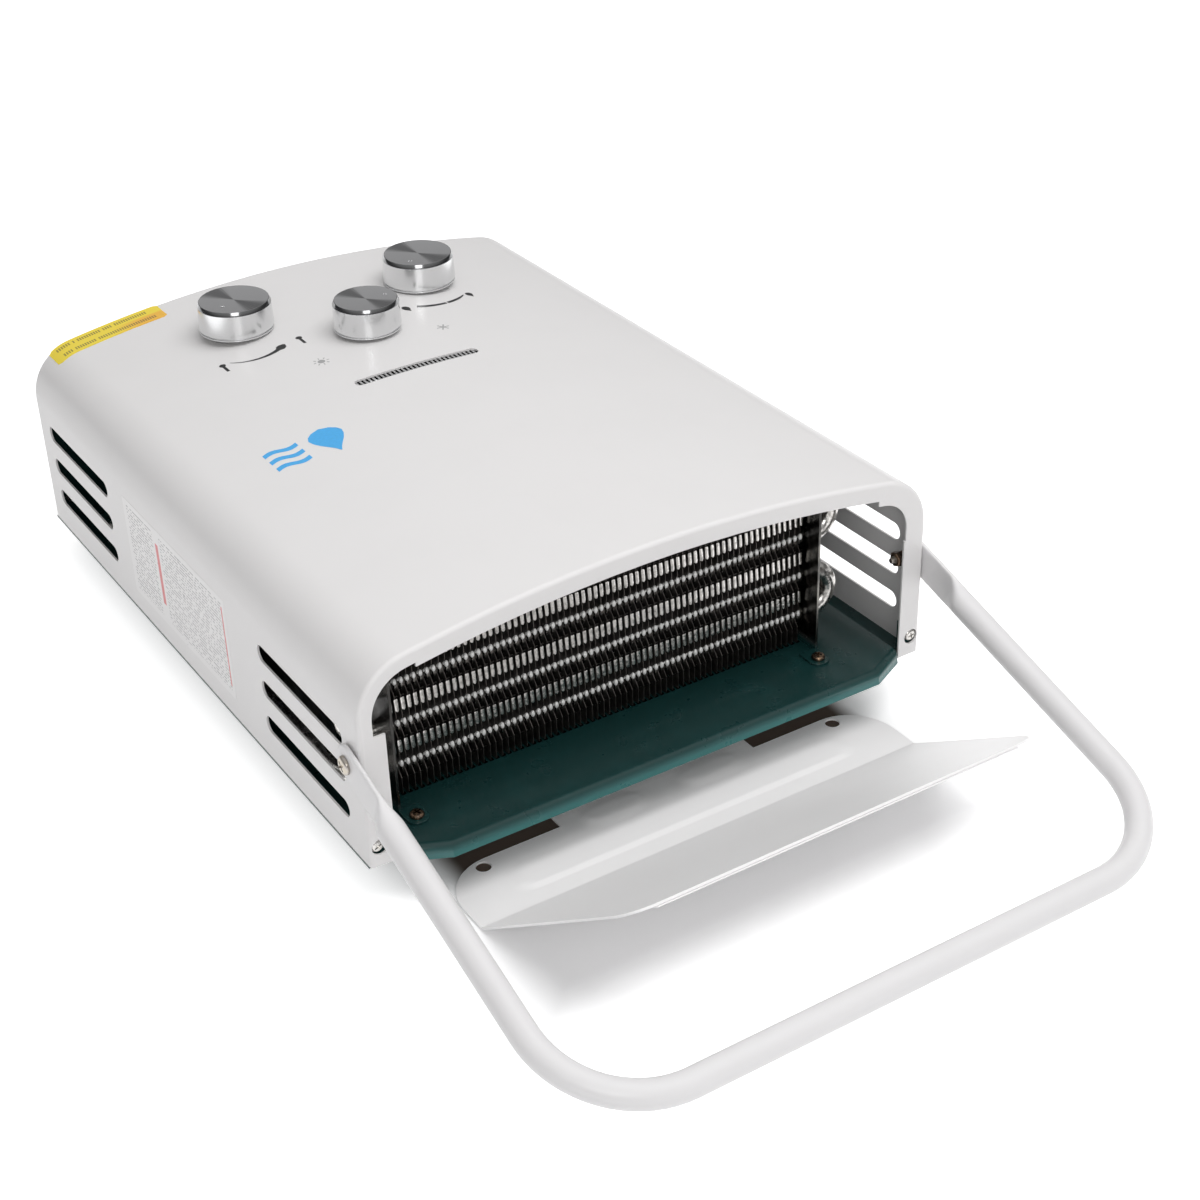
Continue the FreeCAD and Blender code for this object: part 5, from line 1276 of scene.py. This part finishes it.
def hemmed_edge(half, angle, long):
    """The folded strip under the flange's edge."""
    own = sizes("hood")
    over, up = math.cos(angle), math.sin(angle)

    def flange(along, off):
        return -own.crease - along * over + off * up, own.sheet / 2 + along * up + off * over

    section = [(long - own.hem, -0.55), (long - 0.6 * MM, -0.55), (long - 0.1 * MM, -0.9),
               (long - 0.1 * MM, -1.2), (long - 0.6 * MM, -1.5), (long - own.hem, -1.5)]
    return flat_piece("hem", [flange(along, off * MM) for along, off in section], half)


# ---------------------------------------------------------------- the handle


def handle():
    """The white tube handle, one sweep whose section goes from round to flat at both ends."""
    own = sizes("handle")
    dip = math.asin((own.pivot_z - own.rest) / own.reach)
    along = Vector((0, -math.cos(dip), -math.sin(dip)))
    over = Vector((0, -math.sin(dip), math.cos(dip)))
    pivot = Vector((0, own.pivot_y, own.pivot_z))
    cap = own.flat_width / 2

    ends = [cap * math.sin(math.pi / 2 * step / 8) - cap for step in range(9)]
    arm = own.reach - own.bend
    stretch = [own.flat_end * step / 3 for step in range(1, 4)]
    swell = [own.flat_end + (own.round_start - own.flat_end) * step / 14 for step in range(1, 15)]
    plain = [own.round_start + (arm - own.round_start) * step / 5 for step in range(1, 6)]
    stations = [(own.half_span, far, 0.0, far) for far in ends + stretch + swell + plain]
    for step in range(1, 19):
        turn = math.pi / 2 * step / 18
        stations.append((own.half_span - own.bend * (1 - math.cos(turn)), arm + own.bend * math.sin(turn),
                         turn, own.reach))
    half_bar = own.half_span - own.bend
    stations += [(half_bar * (1 - step / 4), own.reach, math.pi / 2, own.reach) for step in range(1, 5)]
    other = [(-at_x, far, math.pi - turn, grade) for at_x, far, turn, grade in reversed(stations[:-1])]

    around = 28
    points = []
    rings = stations + other
    for at_x, far, turn, grade in rings:
        thin, wide, square = tube_section(grade)
        centre = pivot + Vector((at_x, 0, 0)) + along * far
        side = Vector((math.cos(turn), 0, 0)) + along * math.sin(turn)
        for step in range(around):
            angle = 2 * math.pi * step / around
            one = math.copysign(abs(math.cos(angle)) ** square, math.cos(angle)) * thin
            two = math.copysign(abs(math.sin(angle)) ** square, math.sin(angle)) * wide
            points.append(centre + side * one + over * two)
    tube = solid("handle_tube", points, capped(len(rings), around), 50)
    hand_over(tube, "handle", ["carry_handle"], finish(enamel, "white_paint"))


def tube_section(far):
    """Half thickness, half width and squareness of the handle's tube at a distance from the pivot."""
    own = sizes("handle")
    share = eased((far - own.flat_end) / (own.round_start - own.flat_end))
    thin = own.flat_sheet / 2 + (own.radius - own.flat_sheet / 2) * share
    wide = own.flat_width / 2 + (own.radius - own.flat_width / 2) * share
    if far < 0:
        wide = max(0.05 * MM, math.sqrt(max(0.0, wide ** 2 - far ** 2)))
    return thin, wide, 0.45 + 0.55 * share


# ---------------------------------------------------------------- screws


def cross_head(radius, tall, shank, reach, dome=0.55):
    """A pan-head screw standing on Z = 0 with its head up, its cross recess cut, its shank below."""
    profile = [(0, -reach), (shank * 0.6, -reach), (shank, -reach + shank), (shank, 0), (radius * 0.94, 0),
               (radius, tall * 0.12), (radius, tall * 0.4)]
    for step in range(1, 7):
        turn = math.pi / 2 * step / 6
        profile.append((radius * (1 - dome) + radius * dome * math.cos(turn) if step < 6 else radius * 0.4,
                        tall * 0.4 + tall * 0.6 * math.sin(turn)))
    profile.append((0, tall))
    head = turned("screw", profile, 28)
    cutters = []
    for spin in (0, math.pi / 2):
        blade = box_piece("blade", (-radius * 0.55, -radius * 0.11, tall * 0.35),
                          (radius * 0.55, radius * 0.11, tall * 1.3))
        blade.data.transform(Matrix.Rotation(spin, 4, "Z"))
        cutters.append(blade)
    carve(head, cutters)
    soften(head.data, 35)
    return head


def bush_and_nut():
    """A spacer bush standing on Z = 0 with a hexagon nut on top, as a helper piece."""
    bush_profile = ((0, 0), (3.0, 0), (3.0, 6), (0, 6))
    nut_profile = ((0, 6), (3.4, 6), (3.8, 6.4), (3.8, 9.0), (3.4, 9.4), (0, 9.4))
    bush = turned("bush", [mm(*point) for point in bush_profile], 28)
    nut = turned("nut", [mm(*point) for point in nut_profile], 6, None, 20)
    return join("bush_and_nut", [bush, nut])


def screws():
    """The screws that show: the cover's, the exchanger's feet, and the handle's bolts and nuts."""
    near_x, near_y, far_x, far_y, level = mm(140.9, 2.6, 137.7, 370, 31.5)
    near, out, up = (0, -1, 0), (0, 1, 0), (0, 0, 1)
    seats = [((-near_x, near_y, level), near, 0.5), ((near_x, near_y, level), near, 0.2),
             ((-far_x, far_y, level), out, 0.9), ((far_x, far_y, level), out, 0.4)]
    made = seated("cover_screw_set", cross_head(*mm(3, 2.1, 1.7, 7)), seats,
                  finish(bright_screw))
    hand_over(made, "case", ["cover_screws"])

    low_corner, high_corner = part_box("exchanger_screws")
    foot_z = high_corner.z - 2.3 * MM
    middle_y = (low_corner.y + high_corner.y) / 2
    half_head = (high_corner.y - low_corner.y) / 2
    seats = [((low_corner.x + half_head, middle_y, foot_z), up, 0.3),
             ((high_corner.x - half_head, middle_y, foot_z), up, 0.7)]
    made = seated("exchanger_screw_set", cross_head(*mm(3.2, 2.2, 1.7, 4.5)), seats,
                  finish(old_screw))
    hand_over(made, "case", ["exchanger_screws"])

    own = sizes("handle")
    seats = [((hand * (own.half_span + own.flat_sheet / 2 + 0.05 * MM), own.pivot_y, own.pivot_z),
              (hand, 0, 0), 0.6) for hand in (-1, 1)]
    made = seated("pivot_bolt_set", cross_head(*mm(4.2, 2.1, 2, 15.8), 0.6), seats,
                  finish(yellow_zinc))
    hand_over(made, "case", ["handle_bolts"])
    inner_face = sizes("cover").half_width - 1.05 * MM
    seats = [((hand * inner_face, own.pivot_y, own.pivot_z), (-hand, 0, 0), 0.4) for hand in (-1, 1)]
    made = seated("pivot_nut_set", bush_and_nut(), seats, finish(old_screw))
    hand_over(made, "case", ["handle_nuts"])


# ---------------------------------------------------------------- knobs


def knobs():
    """Three turned knobs: satin side and foot, polished bevel, spun top with a pointer dimple."""
    pointers = {"gas_knob": (-8.5, -5.5), "season_knob": (10.5, -1.0), "water_knob": (-9.0, -8.5)}
    bodies = {"gas_knob": "gas_control", "season_knob": "season_control", "water_knob": "water_control"}
    own = sizes("knobs")
    for node, (dimple_x, dimple_y) in pointers.items():
        low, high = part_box(node)
        middle = (low + high) / 2
        radius, tall = (high.x - low.x) / 2, high.z - low.z
        place = Matrix.Translation((middle.x, middle.y, low.z))
        waist = radius * 0.975
        shoulder = tall - own.bevel
        inner = waist - own.inset
        side = turned(node + "_side", [
            (0, 3 * MM), (radius * 0.84, 3 * MM), (radius * 0.86, 0.2 * MM), (waist, 0),
            (radius * 0.985, 0.2 * MM), (radius * 0.985, 0.7 * MM), (radius * 0.955, 0.8 * MM),
            (radius * 0.955, own.foot - 0.1 * MM), (radius * 0.99, own.foot),
            (radius, own.foot + 0.25 * MM), (radius, own.foot + 0.8 * MM),
            (radius * 0.99, own.foot + 3 * MM), (waist, shoulder - 0.2 * MM),
            (waist - 0.15 * MM, shoulder), (inner, tall - 0.6 * MM), (0, tall - 0.6 * MM),
        ], 96, place)
        side.data.materials.append(finish(satin_chrome))
        rim = turned(node + "_rim", [
            (0, tall - 0.9 * MM), (inner - 0.3 * MM, tall - 0.9 * MM),
            (waist - 0.3 * MM, shoulder - 0.1 * MM),
            (waist + 0.05 * MM, shoulder), (waist + 0.02 * MM, shoulder + 0.15 * MM),
            (inner + 0.12 * MM, tall - 0.12 * MM), (inner, tall), (inner - 0.12 * MM, tall - 0.05 * MM),
            (inner - 0.12 * MM, tall - 0.5 * MM), (0, tall - 0.5 * MM),
        ], 96, place, 20)
        rim.data.materials.append(finish(chrome_with_painted_dark_reflection))
        steps = 10
        reach = inner - 0.1 * MM
        dish = [(reach * (1 - step / steps), tall - 0.06 * MM - own.dish * (1 - (1 - step / steps) ** 2))
                for step in range(steps + 1)]
        top = turned(node + "_top", [(0, tall - 1.2 * MM), (reach, tall - 1.2 * MM), *dish], 96, place)
        mark = Vector((middle.x + dimple_x * MM, middle.y + dimple_y * MM, low.z + tall - 0.1 * MM))
        cup = [(own.dimple * math.sin(math.pi * step / 10), -own.dimple * math.cos(math.pi * step / 10))
               for step in range(11)]
        carve(top, [turned("ball", cup, 20, Matrix.Translation(mark))])
        soften(top.data, 30)
        paint_cup(top, mark, own.dimple, finish(spun, middle.x, middle.y), finish(chrome))
        whole = join(node + "_finished", [side, rim, top])
        hand_over(whole, bodies[node], [node])


def paint_cup(top, mark, radius, around, inside):
    """Gives the faces of a dimple their own finish."""
    top.data.materials.clear()
    top.data.materials.append(around)
    top.data.materials.append(inside)
    for face in top.data.polygons:
        if (face.center - mark).length < radius * 1.02 and face.center.z < mark.z - 0.15 * radius:
            face.material_index = 1


# ---------------------------------------------------------------- heat exchanger


TUBE_HOLLOW = ((0, -2.2), (0.5, -1.4), (2.4, 0.8), (2.6, 4.4), (0.9, 6.4), (0, 7.4))


def fin_shape():
    """One fin standing at X = 0, its front edge set back at the tabs and round the tubes."""
    own = sizes("fins")
    low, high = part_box("fin_pack")
    face, back = low.y, high.y
    notch, slope, set_back = own.tab_tall / 2, 0.6 * MM, 0.5 * MM
    outline = [(face + 0.8 * MM, low.z), (face, low.z + 1 * MM)]
    for number in range(4):
        tube = own.lowest_tube + number * own.tube_pitch
        outline += [(face + depth * MM, tube + rise * MM) for depth, rise in TUBE_HOLLOW]
        if number < 3:
            gap = tube + own.tube_pitch / 2 + own.tab_rise
            outline += [(face, gap - notch - slope), (face + set_back, gap - notch),
                        (face + set_back, gap + notch), (face, gap + notch + slope)]
    outline += [(face, high.z), (back, high.z), (back, low.z)]
    return flat_piece("fin", outline, own.sheet / 2)


def bent_tab(start, wide, low, high, face):
    """One tab: a strip bowed to the front, leaning a little, its ends rounded."""
    steps = 6
    points, faces = [], []
    rows_up = ((low, 0.6), (low + 0.3 * MM, 0.9), (low + 0.8 * MM, 1.0), ((low + high) / 2, 1.0),
               (high - 0.8 * MM, 1.0), (high - 0.3 * MM, 0.9), (high, 0.6))
    for at_z, share in rows_up:
        lean = 0.5 * MM * (at_z - low) / (high - low)
        for depth in (0.0, 0.3 * MM):
            for step in range(steps + 1):
                turn = step / steps * 2 - 1
                at_x = start + wide / 2 + turn * share * wide / 2 - lean
                points.append((at_x, face + 0.2 * MM * turn * turn + depth, at_z))
    width = steps + 1
    for line in range(len(rows_up) - 1):
        base, over = line * 2 * width, (line + 1) * 2 * width
        for step in range(steps):
            faces.append((base + step, base + step + 1, over + step + 1, over + step))
            faces.append((base + width + step, over + width + step, over + width + step + 1,
                          base + width + step + 1))
        faces.append((base, over, over + width, base + width))
        faces.append((base + steps, base + width + steps, over + width + steps, over + steps))
    for base in (0, (len(rows_up) - 1) * 2 * width):
        for step in range(steps):
            faces.append((base + step, base + width + step, base + width + step + 1, base + step + 1))
    return solid("tab", points, faces, 40)


def collar_and_bead(start, face, tube):
    """The soldered collar round a tube, the bead on it and the fin's edge under it; their finish gives the
    bead a painted highlight and the edge painted shade.
    """
    own = sizes("fins")
    collar = [(own.tube_radius * share, far * MM) for share, far in
              ((0.9, -0.1), (1.0, -0.1), (1.13, 0.95), (1.02, 1.95), (0.9, 1.95), (0.9, -0.1))]
    bead_half, bead_tall = mm(0.98, 1.65)
    bead = [(bead_half * math.sin(math.pi * step / 6), -bead_tall * math.cos(math.pi * step / 6))
            for step in range(7)]
    on_tube = Matrix.Translation((start, face + 8 * MM, tube)) @ Matrix.Rotation(math.pi / 2, 4, "Y")
    over_tube = Matrix.Translation((start + 0.95 * MM, face + 1.3 * MM, tube + 4.4 * MM))
    return [turned("collar", collar, 14, on_tube, 70), turned("bead", bead, 8, over_tube, 70),
            box_piece("edge", (start - 0.2 * MM, face + 0.3 * MM, tube - 2.6 * MM),
                      (start + own.pitch * 0.5, face + 0.6 * MM, tube - 2.1 * MM))]


def tab_set():
    """What shines at one fin: three bowed tabs, a foot tab, and the solder between it and the tubes."""
    own = sizes("fins")
    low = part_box("fin_pack")[0]
    face = low.y
    start = own.sheet / 2
    notch = own.tab_tall / 2
    parts = []
    for number in range(3):
        gap = own.lowest_tube + (number + 0.5) * own.tube_pitch + own.tab_rise
        parts.append(bent_tab(start, own.tab_width, gap - notch, gap + notch, face + 0.05 * MM))
    parts.append(box_piece("tab", (start - 0.3 * MM, face + 0.2 * MM, low.z + 0.05 * MM),
                           (start + own.tab_width * 0.8, face + 2.0 * MM, low.z + 0.4 * MM)))
    for number in range(4):
        parts += collar_and_bead(start, face, own.lowest_tube + number * own.tube_pitch)
    return join("tabs", parts)


def fins():
    """The fin pack with its bent tabs."""
    own = sizes("fins")
    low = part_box("fin_pack")[0]
    first = (low.x + own.sheet / 2, 0, 0)
    step = (own.pitch, 0, 0)
    sheets = row("fin_sheets", fin_shape(), own.number, first, step, finish(fin_sheet), (0, 0, 0.006), 4)
    soften(sheets.data, 30)
    hand_over(sheets, "case", ["fin_pack"])
    tabs = row("fin_tabs", tab_set(), own.number, first, step, finish(tab_solder_with_painted_light), (0, 0, 0.004), 7)
    soften(tabs.data, 40)
    hand_over(tabs, "case")


def water_way():
    """Tubes, return bends, pipes and end plates of the exchanger."""
    pipes = (("exchanger_tubes", 40), ("return_bends", 60), ("cold_pipe", 60), ("hot_pipe", 60))
    for node, smooth in pipes:
        piece = bench_copy(node, smooth)
        hand_over(piece, "case", [node], finish(tinned))
    for node in ("left_end_plate", "right_end_plate"):
        plate = bench_copy(node, bevel=0.25 * MM)
        round_foot(plate.data)
        hand_over(plate, "case", [node], finish(dark_plate))


def round_foot(mesh):
    """Rounds the two outer corners of an end plate's foot."""
    shape = bmesh.new()
    shape.from_mesh(mesh)
    low = min(vertex.co.y for vertex in shape.verts)
    picked = []
    for edge in shape.edges:
        one, two = (vertex.co for vertex in edge.verts)
        upright = abs(one.z - two.z) > 0.5 * MM and (one.xy - two.xy).length < 0.01 * MM
        if upright and edge.calc_length() < 2 * MM and one.y < low + 0.5 * MM:
            picked.append(edge)
    bmesh.ops.bevel(shape, geom=picked, offset=4.5 * MM, offset_type="OFFSET", segments=6, profile=0.5,
                    affect="EDGES", clamp_overlap=True)
    shape.to_mesh(mesh)
    shape.free()
    soften(mesh, 30)


# ---------------------------------------------------------------- inlet end and small pieces


def threaded(radius, pitch, start, long, steps=40):
    """A threaded stub along Z, as a closed helper piece."""
    rows_to_a_turn = 6
    rows_total = int(long / pitch * rows_to_a_turn)
    points = []
    depth = pitch * 0.55
    for line in range(rows_total + 1):
        height = start + long * line / rows_total
        for step in range(steps):
            share = (height / pitch - step / steps) % 1.0
            ridge = 1 - abs(2 * share - 1)
            edge = min(1.0, (height - start) / pitch, (start + long - height) / pitch)
            reach = radius - depth * (1 - max(0.0, min(1.0, ridge * 1.3 - 0.1)) * edge)
            angle = 2 * math.pi * step / steps
            points.append((reach * math.cos(angle), reach * math.sin(angle), height))
    return solid("thread", points, capped(rows_total + 1, steps), 50)


SMALL_PIECES = (
    ("lock_nuts", brass, "brass", 0.4),
    ("drain_plug", brass, "brass", 0.4),
    ("battery_lid", black_plastic, "black_plastic", 0.4),
    ("battery_box", black_plastic, "black_plastic", 0.3),
    ("burner_frame", bare_steel, "bare_steel", 0.2),
    ("gas_manifold", cast_aluminium, "cast_aluminium", 0.5),
    ("igniter_module", black_plastic, "black_plastic", 0.8),
    ("micro_switch", black_plastic, "black_plastic", 0.4),
)


def thread_on(node, nuts_end):
    """The cut thread on a fitting, from the lock nuts to just short of its end."""
    low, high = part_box(node)
    start, long = nuts_end + 0.3 * MM, high.y - nuts_end - 1.2 * MM
    thread_radius, thread_pitch, bore_radius, past, axis_rise = mm(10.45, 1.814, 6.5, 5, 11.2)
    stub = threaded(thread_radius, thread_pitch, 0, long)
    bore = turned("bore", [(0, -past), (bore_radius, -past), (bore_radius, long + past),
                           (0, long + past)], 32)
    carve(stub, [bore])
    soften(stub.data, 45)
    place = Matrix.Translation(((low.x + high.x) / 2, start, low.z + axis_rise))
    stub.data.transform(place @ Matrix.Rotation(-math.pi / 2, 4, "X"))
    stub.name = node + "_thread"
    return stub


def fittings():
    """Threaded inlet and outlet fittings, lock nuts, drain plug and the small pieces near them."""
    for node in ("gas_inlet", "cold_inlet", "hot_outlet"):
        piece = bench_copy(node, 40)
        stub = thread_on(node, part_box("lock_nuts")[1].y)
        hand_over(piece, "case", [node], finish(brass))
        hand_over(stub, "case", (), finish(brass))
    for node, kind, slot, edge in SMALL_PIECES:
        piece = bench_copy(node, 35, edge * MM)
        body = "battery_door" if node == "battery_lid" else "case"
        hand_over(piece, body, [node], finish(kind))


# ---------------------------------------------------------------- stage


def floor_finish():
    """White floor: lit like the rest, brightened for the camera beyond the object's own shade, and coloured
    dark brown where the object covers it, as a painted shadow."""
    material = bpy.data.materials.new("floor")
    material.use_nodes = True
    material.node_tree.nodes.clear()
    made = Nodes(material.node_tree)
    across, along = made.axis("X"), made.axis("Y")
    glow = 0.66
    away = made.sums("MAXIMUM", abs(across).fade(0.10, 0.145), abs(along - 0.13).fade(0.21, 0.25))
    open_floor = made.sums("MAXIMUM", abs(across).fade(0.10, 0.112), abs(along - 0.155).fade(0.18, 0.19))
    seen = made.sums("MAXIMUM", made.ray("Is Camera Ray"), made.ray("Is Glossy Ray"))
    # painted shadow: the floor's colour turns dark brown under the case and the hood
    tone = made.ramp(open_floor, (0.0, (0.11, 0.085, 0.07)), (1.0, (0.95, 0.95, 0.955)))
    paper = made.node("ShaderNodeBsdfDiffuse", {}, {"Color": tone})
    light = made.node("ShaderNodeEmission", {}, {"Strength": seen * away * glow})
    both = made.node("ShaderNodeAddShader", {}, [paper, light])
    made.node("ShaderNodeOutputMaterial", {}, {"Surface": both})
    return material


def studio_light():
    """A soft white room: white to the camera, even for the light it throws, and with a dark low
    band for what shines."""
    world = bpy.context.scene.world or bpy.data.worlds.new("studio")
    bpy.context.scene.world = world
    world.use_nodes = True
    world.node_tree.nodes.clear()
    made = Nodes(world.node_tree, "Generated")

    def room(colour, strength):
        return made.node("ShaderNodeBackground", {}, {"Color": colour, "Strength": strength})

    def choose(kind_of_ray, other, chosen):
        return made.node("ShaderNodeMixShader", {}, [made.ray(kind_of_ray), other, chosen])

    bands = made.ramp(made.axis("Z"), (0.0, (0.05, 0.05, 0.055)), (0.16, (0.10,) * 3), (0.34, (0.42,) * 3),
                      (0.62, (0.62,) * 3), (1.0, (0.80,) * 3))
    sides = made.ramp(made.axis("X"), (0.0, (0.66,) * 3), (0.55, (1.0,) * 3))
    lit = choose("Is Glossy Ray", room(sides, 0.55), room(bands, 1.0))
    both = choose("Is Camera Ray", lit, room((1, 1, 1, 1), 1.0))
    made.node("ShaderNodeOutputWorld", {}, {"Surface": both})


def lamp(name, place, aim, wide, tall, power, mirrored=True):
    """A soft box aimed at a point, seen or not in what shines."""
    light = bpy.data.lights.new(name, "AREA")
    light.shape = "RECTANGLE"
    light.size, light.size_y = wide, tall
    light.energy = power
    made = bpy.data.objects.new(name, light)
    bpy.context.scene.collection.objects.link(made)
    made.location = place
    made.rotation_euler = (Vector(aim) - Vector(place)).to_track_quat("-Z", "Y").to_euler()
    made.visible_glossy = mirrored


def stage():
    """Floor, light and camera."""
    own = sizes("stage")
    half = own.floor_half
    low = -0.3 * MM
    floor = solid("floor", [(-half, -half, low), (half, -half, low), (half, half, low), (-half, half, low)],
                  [(0, 1, 2, 3)])
    floor.data.materials.append(floor_finish())
    studio_light()
    lamp("overhead", (0.35, -0.25, 1.7), (0, 0.05, 0), 1.4, 1.4, 18, mirrored=False)
    lamp("front", (-0.80, -1.46, 1.03), (0, 0.1, 0.05), 0.8, 0.6, 7.5)

    camera = bpy.data.cameras.new("camera")
    camera.sensor_width = 36
    camera.sensor_fit = "HORIZONTAL"
    camera.lens = own.lens
    camera.clip_start, camera.clip_end = 0.01, 50
    made = bpy.data.objects.new("camera", camera)
    bpy.context.scene.collection.objects.link(made)
    turn, climb, roll = own.turn, own.climb, own.roll
    back = Vector((math.sin(turn) * math.cos(climb), -math.cos(turn) * math.cos(climb), math.sin(climb)))
    right = Vector((0, 0, 1)).cross(back).normalized()
    up = back.cross(right)
    level = math.cos(roll) * right + math.sin(roll) * up
    upright = math.cos(roll) * up - math.sin(roll) * right
    made.matrix_world = Matrix.Translation(own.place) @ Matrix((level, upright, back)).transposed().to_4x4()
    bpy.context.scene.camera = made
    bpy.context.scene.view_settings.view_transform = "Standard"


# ---------------------------------------------------------------- add-on


class HEATER_OT_cover(bpy.types.Operator):
    """Finish the bent and arched cover"""

    bl_idname = "heater.cover"
    bl_label = "Cover"

    def execute(self, context):
        cover()
        return {"FINISHED"}


class HEATER_OT_prints(bpy.types.Operator):
    """Lay the printed scales, the motif and the stickers on the cover"""

    bl_idname = "heater.prints"
    bl_label = "Prints and stickers"

    def execute(self, context):
        front_prints()
        stickers()
        return {"FINISHED"}


class HEATER_OT_window(bpy.types.Operator):
    """Weave the wire mesh behind the flame window"""

    bl_idname = "heater.window"
    bl_label = "Flame window"

    def execute(self, context):
        window()
        return {"FINISHED"}


class HEATER_OT_tray(bpy.types.Operator):
    """Finish the back panel and the rear rails"""

    bl_idname = "heater.tray"
    bl_label = "Back panel and rails"

    def execute(self, context):
        back_tray()
        return {"FINISHED"}


class HEATER_OT_hood(bpy.types.Operator):
    """Press and bend the rain hood"""

    bl_idname = "heater.hood"
    bl_label = "Rain hood"

    def execute(self, context):
        hood()
        return {"FINISHED"}


class HEATER_OT_handle(bpy.types.Operator):
    """Bend the handle's tube and flatten its ends"""

    bl_idname = "heater.handle"
    bl_label = "Handle"

    def execute(self, context):
        handle()
        return {"FINISHED"}


class HEATER_OT_knobs(bpy.types.Operator):
    """Turn the three knobs"""

    bl_idname = "heater.knobs"
    bl_label = "Knobs"

    def execute(self, context):
        knobs()
        return {"FINISHED"}


class HEATER_OT_screws(bpy.types.Operator):
    """Seat the screws and pivot bolts"""

    bl_idname = "heater.screws"
    bl_label = "Screws"

    def execute(self, context):
        screws()
        return {"FINISHED"}


class HEATER_OT_exchanger(bpy.types.Operator):
    """Stack the fins and finish the tubes and end plates"""

    bl_idname = "heater.exchanger"
    bl_label = "Heat exchanger"

    def execute(self, context):
        fins()
        water_way()
        return {"FINISHED"}


class HEATER_OT_fittings(bpy.types.Operator):
    """Cut the threads and finish the nuts, plug, battery box and small inner pieces"""

    bl_idname = "heater.fittings"
    bl_label = "Fittings"

    def execute(self, context):
        fittings()
        return {"FINISHED"}


class HEATER_OT_inner_works(bpy.types.Operator):
    """Give every construction node that stays its finish"""

    bl_idname = "heater.inner_works"
    bl_label = "Inner works"

    def execute(self, context):
        dress_nodes()
        return {"FINISHED"}


class HEATER_OT_stage(bpy.types.Operator):
    """Set the floor, the light and the camera"""

    bl_idname = "heater.stage"
    bl_label = "Stage"

    def execute(self, context):
        stage()
        return {"FINISHED"}


OPERATORS = (HEATER_OT_stage, HEATER_OT_inner_works, HEATER_OT_cover, HEATER_OT_prints, HEATER_OT_window,
             HEATER_OT_tray, HEATER_OT_hood, HEATER_OT_handle, HEATER_OT_knobs, HEATER_OT_screws,
             HEATER_OT_exchanger, HEATER_OT_fittings)


class HEATER_PT_sidebar(bpy.types.Panel):
    """Lists the sizes and the steps"""

    bl_label = "Propane water heater"
    bl_idname = "HEATER_PT_sidebar"
    bl_space_type = "VIEW_3D"
    bl_region_type = "UI"
    bl_category = "Heater"

    def draw(self, context):
        for group in GROUPS:
            own = sizes(group)
            column = self.layout.column(align=True)
            for label in own.bl_rna.properties.keys():
                if label not in ("rna_type", "name"):
                    column.prop(own, label)
        for operator in OPERATORS:
            self.layout.operator(operator.bl_idname)


def register():
    for kind in (*GROUPS.values(), *OPERATORS, HEATER_PT_sidebar):
        bpy.utils.register_class(kind)
    for group, kind in GROUPS.items():
        setattr(bpy.types.Scene, "heater_" + group, PointerProperty(type=kind))


def unregister():
    for group in GROUPS:
        delattr(bpy.types.Scene, "heater_" + group)
    for kind in reversed((*GROUPS.values(), *OPERATORS, HEATER_PT_sidebar)):
        bpy.utils.unregister_class(kind)


def main():
    """Registers the add-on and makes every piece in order."""
    register()
    bpy.ops.heater.stage()
    bpy.ops.heater.inner_works()
    bpy.ops.heater.cover()
    bpy.ops.heater.prints()
    bpy.ops.heater.window()
    bpy.ops.heater.tray()
    bpy.ops.heater.hood()
    bpy.ops.heater.handle()
    bpy.ops.heater.knobs()
    bpy.ops.heater.screws()
    bpy.ops.heater.exchanger()
    bpy.ops.heater.fittings()


if __name__ == "__main__":
    main()
